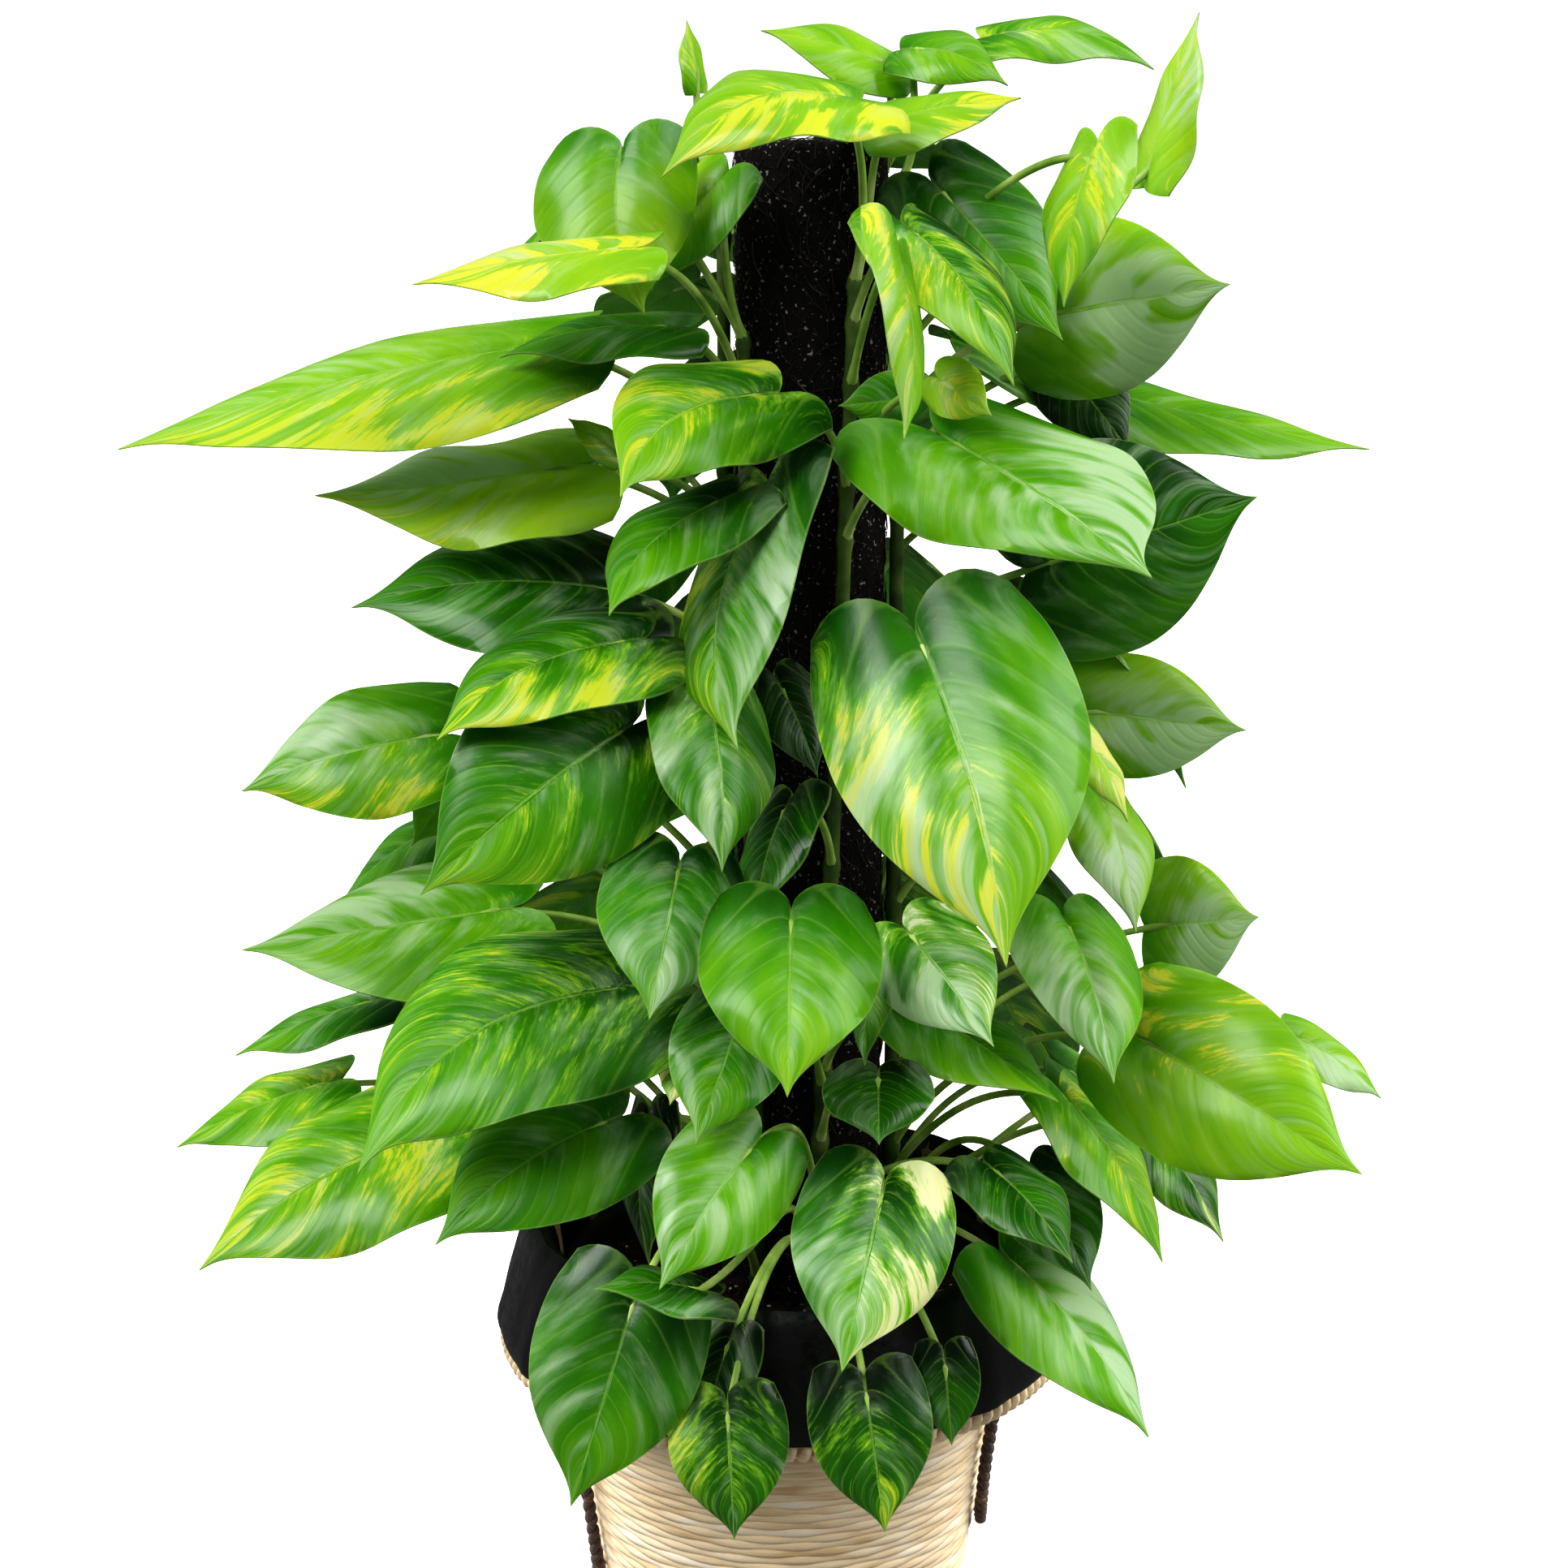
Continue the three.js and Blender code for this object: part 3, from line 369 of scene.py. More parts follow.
# The leaves behind, which the photograph hides, from the top one to the lowest. Draws between -0.5 and 0.5
# spread evenly over the row: the step from each leaf to the next, and where the first one starts.
REAR_COUNT = 34
REAR_DRAWS = {
    "around": (0.6180339887, 0.35), "spin": (0.7548776662, 0), "sway": (0.569840291, 0), "tilt": (0.430159709, 0.2),
}
# Each measure, in millimetres or degrees: where it starts, how far it runs down the row and the power of
# that run, how far it strays, and the draw that it strays by
REAR_MEASURES = {
    "azimuth": (90, 0, 1, 162, "around"), "turn": (0, 0, 1, 26, "spin"), "lean": (0, 0, 1, 44, "tilt"),
    "pitch": (28, 26, 1, 28, "sway"), "height": (815, -520, 0.92, 0, "spin"), "reach": (62, 105, 1, 26, "sway"),
    "length": (92, 52, 0.7, 22, "spin"), "plump": (0.66, 0, 1, 0.1, "sway"), "arch": (0.07, 0, 1, 0.05, "spin"),
    "bend": (0, 0, 1, 0.06, "sway"), "tone": (0.42, 0, 1, 0.5, "tilt"), "painted_sheen": (0, 0, 1, 0.4, "sway"),
    "streak": (0.25, 0, 1, 0.5, "spin"), "cream": (0.5, 0, 1, 1, "sway"), "side": (0, 0, 1, 1.6, "sway"),
}
# How much the rear leaves' tone rises toward the tip: painted shade on their bases under the leaves above
REAR_SHADE_RISE = 0.2

# The climbing stems: azimuth about the pole at the soil and at the top, and the height of the top
VINES = {
    "front_right": (-88, -62, 742),
    "front_left": (-128, -140, 715),
    "left": (172, 178, 772),
    "back_left": (128, 134, 790),
    "back": (84, 96, 800),
    "back_right": (42, 48, 778),
    "right": (-4, -10, 785),
}

# A blade's half width along its midrib, as a share of its widest, and where its points lie
OUTLINE = np.array([
    (0, 0.8), (0.12, 0.95), (0.27, 1), (0.42, 0.96), (0.58, 0.8), (0.73, 0.52), (0.86, 0.2), (0.93, 0.07), (1, 0),
])
BLADE_SHARES = np.concatenate([
    np.linspace(0, 0.16, 8)[:-1], np.linspace(0.16, 0.8, 19)[:-1], np.linspace(0.8, 0.985, 9), [1.0],
])
BLADE_HALF_COLUMNS = np.array([0, 0.035, 0.1, 0.2, 0.32, 0.45, 0.58, 0.72, 0.86, 1])
BLADE_THICKNESS = 0.7
# Its camber: a groove along the midrib, margins that droop, and lobes that sweep back past the stalk
GROOVE = 0.3
GROOVE_SOFTNESS = 0.03
DROOP = 0.48
LOBE_END = 0.4
LOBE_SWEEP = 0.88 * math.pi
LOBE_ROUNDING = 0.5
# Its waved margin: how high, how sharply that fades inward, how many waves, and how the count and the
# start of the waves differ from leaf to leaf and from side to side
MARGIN_WAVE = 0.065
WAVE_FADE = 2.5
WAVES = 1.6
WAVES_STRAY = 0.5
WAVE_STEP = 2.4
WAVE_SIDES = 1.3
# Its side veins, which lie sunk above, and its midrib, which is painted above and a ridge beneath
VEINS_A_SIDE = 11
VEIN_LIFT = 0.0016
VEIN_SWEEP = 0.4
VEIN_CURVE = 1.1
VEIN_START = 0.12
MIDRIB_HALF = 1.2
MIDRIB_TAPER = 0.75
RIDGE_DEPTH = 1.5
RIDGE_WIDTH = 1.4
RIDGE_TAPER = 0.7
# Its colour: how dark painted shade makes it at the stalk, where the leaves above shade it, and how far
# that reaches, how strongly streaks gather, where the painted sheen begins along the blade and how it leans
# to one edge, and what sets off one leaf's noise from the next
BASE_SHADE = 0.18
BASE_SHADE_REACH = 0.16
GATHER = 1.3
SHEEN_MIDDLE = 0.7
SHEEN_LEAN = 0.8
SHEEN_START = 0.1
SHEEN_RUN = 0.35
SEED_STEP = 3.7
SEED_SIDES = 2.3


def seen(pixel, near):
    """The point that a photo pixel shows, at a distance toward the viewer from the basket's axis."""
    ahead = Vector((0, math.cos(LOOK_DOWN), -math.sin(LOOK_DOWN)))
    above = Vector((0, math.sin(LOOK_DOWN), math.cos(LOOK_DOWN)))
    ray = ahead + above * ((IMAGE_PIXELS / 2 - pixel[1]) / FOCAL_PIXELS)
    ray.x += (pixel[0] - IMAGE_PIXELS / 2) / FOCAL_PIXELS
    return EYE + ray * ((-near * MM - EYE.y) / ray.y)


def seen_leaf(row):
    """A leaf that the photograph shows, turned about its midrib until it is as wide as it looks there."""
    base_pixel, tip_pixel, pixels_wide, (base_near, tip_near), traits = row
    leaf = SimpleNamespace(**{**USUAL_LEAF, **traits})
    leaf.base = seen(base_pixel, base_near)
    tip = seen(tip_pixel, tip_near)
    leaf.along = tip - leaf.base
    leaf.length = leaf.along.length
    leaf.along.normalize()
    look = EYE - (leaf.base + tip) / 2
    away = -look.y * math.cos(LOOK_DOWN) + look.z * math.sin(LOOK_DOWN)
    shown = pixels_wide * away / FOCAL_PIXELS
    look.normalize()
    facing = (look - leaf.along * look.dot(leaf.along)).normalized()
    across = leaf.along.cross(facing)
    leaf.width = max(shown, leaf.plump * leaf.length)
    roll = math.acos(min(1, shown / leaf.width))
    turns = [facing * math.cos(angle) + across * math.sin(angle) for angle in (roll, -roll)]
    leaf.normal = turns[0] if turns[0].z >= turns[1].z else turns[1]
    leaf.side_way = leaf.along.cross(leaf.normal)
    return leaf


def rear_leaf(index):
    """A leaf behind, by its place in the row from the top one to the lowest."""
    share = (index + 0.5) / REAR_COUNT
    draws = {name: (index * step + first) % 1 - 0.5 for name, (step, first) in REAR_DRAWS.items()}
    measures = {name: start + run * share ** power + strays * draws[draw]
                for name, (start, run, power, strays, draw) in REAR_MEASURES.items()}
    leaf = SimpleNamespace(**{**USUAL_LEAF, **measures})
    azimuth, turn, lean, pitch = map(math.radians, (leaf.azimuth, leaf.turn, leaf.lean, leaf.pitch))
    outward = Vector((math.cos(azimuth), math.sin(azimuth), 0))
    heading = Matrix.Rotation(turn, 3, UP) @ outward
    leaf.base = Vector((POLE_X * MM, 0, leaf.height * MM)) + outward * leaf.reach * MM
    leaf.length *= MM
    leaf.width = leaf.length * leaf.plump
    leaf.along = heading * math.cos(pitch) - UP * math.sin(pitch)
    flat = heading * math.sin(pitch) + UP * math.cos(pitch)
    leaf.normal = flat * math.cos(lean) + leaf.along.cross(flat) * math.sin(lean)
    leaf.side_way = leaf.along.cross(leaf.normal)
    leaf.painted_sheen = max(0, leaf.painted_sheen)
    leaf.rise = REAR_SHADE_RISE
    return leaf


def outline_width(share):
    """The half width of the outline at shares of the midrib, on a smooth curve through its points."""
    places, widths = OUTLINE.T
    slopes = np.empty(len(places))
    slopes[1:-1] = (widths[2:] - widths[:-2]) / (places[2:] - places[:-2])
    slopes[0] = (widths[1] - widths[0]) / (places[1] - places[0])
    slopes[-1] = (widths[-1] - widths[-2]) / (places[-1] - places[-2])
    after = np.clip(np.searchsorted(places, share, side="left"), 1, len(places) - 1)
    before = after - 1
    gap = places[after] - places[before]
    u = (share - places[before]) / gap
    passed = 3 * u ** 2 - 2 * u ** 3
    return (widths[before] * (1 - passed) + widths[after] * passed
            + gap * ((u ** 3 - 2 * u ** 2 + u) * slopes[before] + (u ** 3 - u ** 2) * slopes[after]))


def midrib_point(leaf, share):
    """The point at a share of a leaf's midrib, on the bow of its arch and bend."""
    bow = 4 * share * (1 - share) * leaf.length
    arched = leaf.base + leaf.along * (leaf.length * share) + leaf.normal * (leaf.arch * bow)
    return arched + leaf.side_way * (leaf.bend * bow)


def blade(leaf):
    """Points, faces and attributes of one closed blade: an upper sheet, a lower sheet and the rim. The
    attributes are, in order: millimetres from the midrib and along the veins, and a seed; tone with its painted
    shade, streaks and painted sheen; places across the midrib, from the margin and among the veins; cream, and 1
    on the lower sheet."""
    across = np.concatenate([-BLADE_HALF_COLUMNS[:0:-1], BLADE_HALF_COLUMNS])[None, :]
    share = BLADE_SHARES[:, None]
    away = np.abs(across)
    side = np.sign(across)
    half = leaf.width / 2 * outline_width(share)
    bow = 4 * share * (1 - share) * leaf.length
    sweep = np.maximum(0, 1 - share / LOBE_END) ** 2 * np.sin(LOBE_SWEEP * away) ** LOBE_ROUNDING
    back = leaf.lobe * leaf.length * sweep + leaf.skew * half * across
    vein = share - VEIN_SWEEP * away ** VEIN_CURVE * share / (share + VEIN_START)
    groove = GROOVE * (np.sqrt(away ** 2 + GROOVE_SOFTNESS ** 2) - GROOVE_SOFTNESS)
    turns = (WAVES + WAVES_STRAY * math.sin(leaf.number)) * share
    wave = MARGIN_WAVE * away ** WAVE_FADE * np.sin(TURN * turns + leaf.number * WAVE_STEP + WAVE_SIDES * side)
    quilt = -VEIN_LIFT * leaf.width * np.cos(TURN * vein * VEINS_A_SIDE) * 4 * away * (1 - away) * (1 - share)
    lift = half * (groove - DROOP * away ** 2 + wave) + quilt
    along, side_way, normal = (np.array(way) for way in (leaf.along, leaf.side_way, leaf.normal))
    upper = (np.array(leaf.base) + along * (leaf.length * share - back)[..., None]
             + side_way * (half * across + leaf.bend * bow)[..., None]
             + normal * (leaf.arch * bow + lift)[..., None])
    from_midrib = half * across / MM
    ridge = RIDGE_DEPTH * np.exp(-(from_midrib / RIDGE_WIDTH) ** 2) * (1 - share) ** RIDGE_TAPER
    lower = upper - normal * ((BLADE_THICKNESS + ridge) * MM)[..., None]
    amount = leaf.streak * (1 + GATHER * leaf.side * across + GATHER * leaf.tip * (2 * share - 1))
    # the tone rises from base to tip, mostly painted shade on bases under the leaves above, and shifts across the
    # blade by painted shade that leaves one half lighter than the other
    tone = leaf.tone + leaf.rise * (share - 0.5) + leaf.split * across
    # painted shade: each blade is darker near its stalk, where the leaves above shade it
    tone = tone - BASE_SHADE * np.exp(-(share / BASE_SHADE_REACH) ** 2)
    # painted sheen: a pale highlight fixed in the colour, leaning to one edge and starting away from the stalk
    leaning = SHEEN_MIDDLE + SHEEN_LEAN * across * math.copysign(1, leaf.painted_sheen)
    painted_sheen = abs(leaf.painted_sheen) * leaning * np.clip((share - SHEEN_START) / SHEEN_RUN, 0, 1)
    rows, columns = vein.shape
    rows -= 1
    tip_place = rows * columns
    count = tip_place + 1

    def sheet(grid):
        """A sheet's rows without the tip's, and then the tip as one point."""
        grid = np.broadcast_to(grid, (rows + 1, columns) + grid.shape[2:])
        return np.concatenate([grid[:-1].reshape(tip_place, -1), grid[-1:, columns // 2].reshape(1, -1)])

    points = np.concatenate([sheet(upper), sheet(lower)])
    values = {
        "vein": (from_midrib, vein * leaf.length / MM, leaf.number * SEED_STEP + SEED_SIDES * side),
        "tint": (tone, amount, painted_sheen),
        "edge": (np.abs(from_midrib) / (MIDRIB_HALF * (1 - MIDRIB_TAPER * share)), (1 - away) * half / MM,
                 vein * VEINS_A_SIDE),
    }
    values = {label: np.tile(sheet(np.stack(np.broadcast_arrays(*grids), axis=-1)), (2, 1))
              for label, grids in values.items()}
    under = np.repeat([0.0, 1.0], count)
    values["kind"] = np.stack([np.full(2 * count, leaf.cream), under, np.zeros(2 * count)], axis=1)
    corners = [row * columns + column for row in range(rows - 1) for column in range(columns - 1)]
    faces = [(a, a + 1, a + 1 + columns, a + columns) for a in corners]
    faces += [(a, a + 1, tip_place) for a in range(tip_place - columns, tip_place - 1)]
    faces += [tuple(corner + count for corner in reversed(face)) for face in faces]
    rim = list(range(columns)) + [row * columns + columns - 1 for row in range(1, rows)]
    rim += [tip_place] + [row * columns for row in range(rows - 1, 0, -1)]
    faces += [(a + count, b + count, b, a) for a, b in zip(rim, rim[1:] + rim[:1])]
    return points, faces, values


def stem_point(name, height):
    """The middle of a climbing stem at a height in millimetres."""
    foot_azimuth, top_azimuth, top = VINES[name]
    climbed = min(1, max(0, (height - SOIL_HEIGHT) / (top - SOIL_HEIGHT)))
    azimuth = math.radians(foot_azimuth + (top_azimuth - foot_azimuth) * climbed)
    radius = POLE_RADIUS + STEM_GAP + STEM_RADIUS
    return Vector((POLE_X + radius * math.cos(azimuth), radius * math.sin(azimuth), height)) * MM


def nearest_vine(leaf):
    """The stem that passes closest beneath a leaf, seen from above."""
    azimuth = math.atan2(leaf.base.y, leaf.base.x - POLE_X * MM)

    def gap(name):
        foot = stem_point(name, leaf.base.z / MM)
        turn = azimuth - math.atan2(foot.y, foot.x - POLE_X * MM)
        return abs((turn + math.pi) % TURN - math.pi)

    return min(VINES, key=gap)


# How a stalk rises and spreads from its stem and comes in under its blade, as shares of its span
STALK_RISE = 0.35
STALK_RISE_OVER_RIM = 0.55
STALK_SPREAD = 0.22
STALK_RETURN = 0.3
STALK_RUN_IN = 0.14
STALK_POINTS = 22
# Where it leaves its stem: below its blade by a share of its reach and a little more, above the soil, and
# below the stem's end. A stalk rises higher where its blade hangs near the fold.
NODE_DROP = 0.55
NODE_BELOW = 12
STEM_ABOVE = 4
NEAR_FOLD = 60
# How it lies under the midrib: how deep, and how far in it arrives and ends
STALK_DEPTH = 1.1
STALK_ARRIVES = 8
STALK_ENDS = 20
# Its radius at the foot, what it loses along the way, its last radius, and how much it swells at the foot
# and under the blade over a share of its length
STALK_RADIUS = 2.05
STALK_TAPER = 0.35
STALK_END_RADIUS = 0.7
STALK_FOOT_SWELL = 1.1
STALK_BLADE_SWELL = 0.35
STALK_SWELL_REACH = 0.05
# How a climbing stem thins toward its top, closes at its end and swells at its nodes
STEM_STEP = 3.0
STEM_TAPER = 0.25
STEM_END = 6
STEM_END_SHARE = 0.55
NODE_SWELL = 0.9
NODE_REACH = 4
MOST_SWELL = 1.0


def stalk(leaf):
    """A leaf stalk as points with a thickness: it rises from its stem, bows over and runs under the midrib.
    Also gives the height at which it leaves the stem, in millimetres."""
    outward = Vector((leaf.base.x - POLE_X * MM, leaf.base.y, 0))
    reach = outward.length / MM - POLE_RADIUS
    outward.normalize()
    node = max(SOIL_HEIGHT + NODE_BELOW, leaf.base.z / MM - NODE_DROP * reach - NODE_BELOW)
    node = min(VINES[leaf.vine][2] - STEM_ABOVE, node)
    start = stem_point(leaf.vine, node)
    end, last = (midrib_point(leaf, place * MM / leaf.length) - leaf.normal * STALK_DEPTH * MM
                 for place in (STALK_ARRIVES, STALK_ENDS))
    span = (end - start).length
    over_rim = leaf.base.z / MM < FOLD_HEIGHT + NEAR_FOLD and reach > NEAR_FOLD
    rise = STALK_RISE_OVER_RIM if over_rim else STALK_RISE
    first = start + outward * (STALK_SPREAD * span) + UP * (rise * span)
    second = end.lerp(first, STALK_RETURN) - leaf.along * (STALK_RUN_IN * span)
    points = []
    for step in range(STALK_POINTS):
        u = step / (STALK_POINTS - 1)
        v = 1 - u
        point = start * v ** 3 + first * 3 * u * v ** 2 + second * 3 * u ** 2 * v + end * u ** 3
        swell = STALK_FOOT_SWELL * math.exp(-(u / STALK_SWELL_REACH) ** 2)
        swell += STALK_BLADE_SWELL * math.exp(-(v / STALK_SWELL_REACH) ** 2)
        points.append((point, STALK_RADIUS - STALK_TAPER * u + swell, u))
    points.append((last, STALK_END_RADIUS, 1.0))
    return points, node


def stem(name, nodes):
    """A climbing stem as points with a thickness, swollen at each node where a stalk leaves it."""
    top = VINES[name][2]
    points = []
    for height in np.arange(STEM_FOOT, top + 0.1, STEM_STEP):
        swell = sum(NODE_SWELL * math.exp(-((height - node) / NODE_REACH) ** 2) for node in nodes)
        taper = 1 - STEM_TAPER * (height - STEM_FOOT) / (top - STEM_FOOT)
        thickness = STEM_RADIUS * taper + min(MOST_SWELL, swell)
        if top - height < STEM_END:
            thickness *= STEM_END_SHARE + (1 - STEM_END_SHARE) * (top - height) / STEM_END
        points.append((stem_point(name, height), thickness, -1.0))
    return points


def polylines(name, lines):
    """One mesh of open lines, with the attributes thickness, in metres, and place: from 0 to 1 along a
    stalk, and -1 on a stem."""
    points, thickness, place = zip(*(point for line in lines for point in line))
    edges = []
    for line in lines:
        edges += chain(edges[-1][1] + 1 if edges else 0, len(line))
    return new_piece(name, points, edges=edges, values={"thickness": np.array(thickness) * MM, "place": place})


# Materials. A Map Range lists its value, the range that comes in and the range that goes out.

LEAF_GREENS = [
    (0, "#052404"), (0.2, "#155204"), (0.42, "#3c8a03"), (0.6, "#68ad08"), (0.8, "#96c818"), (1, "#c0de3a"),
]
STREAK_CREAMS = [(0, "#c6da24"), (0.4, "#e4e23c"), (0.7, "#ece79a"), (1, "#eeedd4")]


def leaf_cuticle():
    """Pothos leaf under its waxy cuticle, grown: a broad soft gloss over green that is streaked along
    the veins with lime, yellow and cream, with a paler midrib, with painted shade where the blade's tone carries
    it, and with a pale sheen painted into the colour in places as a painted highlight."""
    finish, tree = new_finish("pothos_leaf_cuticle")
    vein, tint, edge, kind = [add(tree, "ShaderNodeAttribute", attribute_name=name).outputs["Vector"]
                              for name in ("vein", "tint", "edge", "kind")]
    (tone, amount, painted_sheen), (midrib, margin, rib), (cream, under, _) = [
        add(tree, "ShaderNodeSeparateXYZ", [values]).outputs for values in (tint, edge, kind)]
    # noise along the veins, each with its size across the blade and along it in millimetres: clouds of
    # green, patches where the streaks gather, the streaks, and the smears of painted sheen
    noises = []
    for size_across, size_along, detail, rough in (
            (26, 18, 2, 0.5), (24, 16, 2, 0.5), (8, 1.8, 6, 0.68), (22, 9, 4, 0.55)):
        place = add(tree, "ShaderNodeMapping", {"Vector": vein, "Scale": (1 / size_across, 1 / size_along, 1)})
        noises.append(add(tree, NOISE, {
            "Vector": place, "Scale": 1.0, "Detail": detail, "Roughness": rough}))
    cloud, patches, streaks, smears = noises
    centred = add(tree, MATH, [cloud, 0.5], operation="SUBTRACT")
    shifted = add(tree, MATH, [centred, 0.5, tone], operation="MULTIPLY_ADD")
    green = add(tree, RAMP, [shifted], stops=LEAF_GREENS)
    gathered = add(tree, RANGE, [patches, 0.36, 0.66, 0.3, 1.9], interpolation_type="SMOOTHSTEP")
    local = add(tree, MATH, [amount, gathered], operation="MULTIPLY")
    streaked = add(tree, MATH, [local, 0.42, streaks], operation="MULTIPLY_ADD")
    clouded = add(tree, RANGE, [cloud, 0.38, 0.6, 0.1, 1.4], interpolation_type="SMOOTHSTEP")
    # the painted sheen, clouded and smeared over the blade
    sheen_clouds = add(tree, MATH, [painted_sheen, clouded], operation="MULTIPLY")
    sheen_amount = add(tree, MATH, [sheen_clouds, 0.5, smears], operation="MULTIPLY_ADD")
    from_vein = add(tree, MATH, [rib, 0.5], operation="PINGPONG")
    pale = add(tree, RAMP, [cream], stops=STREAK_CREAMS)
    # what lies over the green, from the lowest up: where it starts, where it is full, how strong, its colour
    layers = [
        (streaked, 0.6, 0.82, 0.75, linear("#8ac42a")),
        (streaked, 0.77, 0.94, 0.92, pale),
        # the pale painted sheen: a highlight painted into the colour
        (sheen_amount, 0.46, 1.0, 0.82, linear("#bcd6ae")),
        (from_vein, 0.09, 0.0, 0.2, linear("#a4cf5c")),
        (midrib, 1.0, 0.1, 0.4, linear("#a2cf58")),
        (margin, 0.7, 0.2, 0.25, linear("#bcd67c")),
        (under, 0.0, 1.0, 0.4, linear("#6f9c4c")),
    ]
    colour = green
    for source, first, full, strength, paint in layers:
        mask = add(tree, RANGE, [source, first, full, 0.0, strength],
                   interpolation_type="SMOOTHSTEP")
        colour = add(tree, MIX, {0: mask, 6: colour, 7: paint}, data_type="RGBA").outputs[2]
    # the surface sinks along the side veins, and lies in fine lines between them
    sunk = add(tree, RANGE, [from_vein, 0.0, 0.25], interpolation_type="SMOOTHSTEP")
    height = add(tree, MATH, [streaks, 1.1, sunk], operation="MULTIPLY_ADD")
    bump = add(tree, "ShaderNodeBump", {"Strength": 0.35, "Distance": 0.35 * MM, "Height": height})
    dulled = add(tree, RANGE, [smears, 0.3, 0.75, 0.24, 0.38])
    rough = add(tree, MATH, [under, 0.2, dulled], operation="MULTIPLY_ADD")
    # some of the light that falls on one side of a blade comes out of the other
    cuticle = add(tree, "ShaderNodeBsdfPrincipled", {
        "Base Color": colour, "Roughness": rough, "IOR": 1.45, "Normal": bump, "Specular IOR Level": 0.38,
        "Coat Weight": 0.2, "Coat Roughness": 0.18})
    flesh = add(tree, "ShaderNodeBsdfTranslucent", {"Color": colour})
    both = add(tree, "ShaderNodeMixShader", [0.28, cuticle, flesh])
    add(tree, "ShaderNodeOutputMaterial", {"Surface": both})
    return finish


def stalk_skin():
    """Pothos stem and stalk skin, grown: smooth and faintly shiny, pale green on the stalks and browner
    and drier on the climbing stems, with fine lines along them."""
    finish, tree, where, (cloud,) = grained_finish("pothos_stalk_skin", (22, {"Detail": 3.0}))
    place = add(tree, "ShaderNodeAttribute", attribute_name="place").outputs["Fac"]
    green = add(tree, RAMP, [cloud], stops=[(0.3, "#628f2c"), (0.55, "#9aba56"), (0.75, "#cddb92")])
    bark = add(tree, RAMP, [cloud], stops=[(0.3, "#26300e"), (0.55, "#3f5c1c"), (0.75, "#6c7a3a")])
    on_stem = add(tree, RANGE, [place, 0.0, -0.5])
    colour = add(tree, MIX, {0: on_stem, 6: green, 7: bark}, data_type="RGBA")
    # lines about 0.9 mm apart that run up the stem
    stretched = add(tree, "ShaderNodeMapping", {"Vector": where, "Scale": (1, 1, 0.08)})
    lines = add(tree, NOISE, {"Vector": stretched, "Scale": 1 / (0.9 * MM), "Detail": 2.0})
    return finish_with(finish, colour.outputs[2], 0.42, 1.45, (0.3, 0.3, lines))


def coir_matting():
    """Coir matting, coconut husk fibre pressed into a sleeve: nearly black and fully matte, with a tangle
    of fine fibres and pale specks of husk dust."""
    finish, tree, where, (bent, specks) = grained_finish(
        "coir_matting", (12, {"Detail": 2.0}), (2.2, {"Detail": 1.0}))
    tangled = add(tree, MIX, {0: 0.02, 4: where, 5: bent.outputs["Color"]}, data_type="VECTOR")
    fibres = add(tree, NOISE, {
        "Vector": tangled.outputs[1], "Scale": 1 / (2.2 * MM), "Detail": 4.0, "Roughness": 0.7})
    dusted = add(tree, RANGE, [specks, 0.66, 0.72])
    dark = add(tree, RAMP, [fibres], stops=[(0.3, "#040304"), (0.58, "#120c0c"), (0.8, "#332622")])
    colour = add(tree, MIX, {0: dusted, 6: dark, 7: linear("#8f8580")}, data_type="RGBA")
    return finish_with(finish, colour.outputs[2], 0.95, 1.5, (0.9, 1.5, fibres), {"Specular IOR Level": 0.25})


def coir_fibre():
    """Loose coir fibre, drawn from the husk: stiff dark brown hairs, some bleached at their ends."""
    finish, tree, _, (cloud,) = grained_finish("coir_fibre", (6, {"Detail": 2.0}))
    each = add(tree, "ShaderNodeAttribute", attribute_name="strand").outputs["Fac"]
    clouded = add(tree, MATH, [cloud, 0.3], operation="MULTIPLY")
    mixed = add(tree, MATH, [each, 0.7, clouded], operation="MULTIPLY_ADD")
    colour = add(tree, RAMP, [mixed],
                 stops=[(0.1, "#070405"), (0.55, "#1a1110"), (0.8, "#382823"), (0.97, "#948678")])
    return finish_with(finish, colour, 0.75, 1.5)


def woven_weft(name, shades, depth):
    """Split seagrass, dried and bleached, woven round the basket: satin cream strands, each a little
    lighter or darker than the next, with grain along them and tan where the leaf was old."""
    # each strand reaches about 90 mm before the next is laid in
    finish, tree, where, (cut,) = grained_finish(name, (90, {"Detail": 0.0}))
    row = add(tree, "ShaderNodeAttribute", attribute_name="row").outputs["Fac"]
    laid_in = add(tree, MATH, [cut, 5.0], operation="MULTIPLY")
    spread = add(tree, MATH, [row, 7.31, laid_in], operation="MULTIPLY_ADD")
    each = add(tree, NOISE, {"W": spread, "Scale": 1.0, "Detail": 2.0}, noise_dimensions="1D")
    stretched = add(tree, "ShaderNodeMapping", {"Vector": where, "Scale": (1, 1, 16)})
    grain = add(tree, NOISE, {"Vector": stretched, "Scale": 1 / (14 * MM), "Detail": 4.0, "Roughness": 0.6})
    grained = add(tree, MATH, [grain, 0.4], operation="MULTIPLY")
    mixed = add(tree, MATH, [each, 0.6, grained], operation="MULTIPLY_ADD")
    colour = add(tree, RAMP, [mixed], stops=shades)
    sheen = {"Sheen Weight": 0.15, "Sheen Roughness": 0.5}
    return finish_with(finish, colour, 0.62, 1.5, (0.45, depth, grain), sheen)


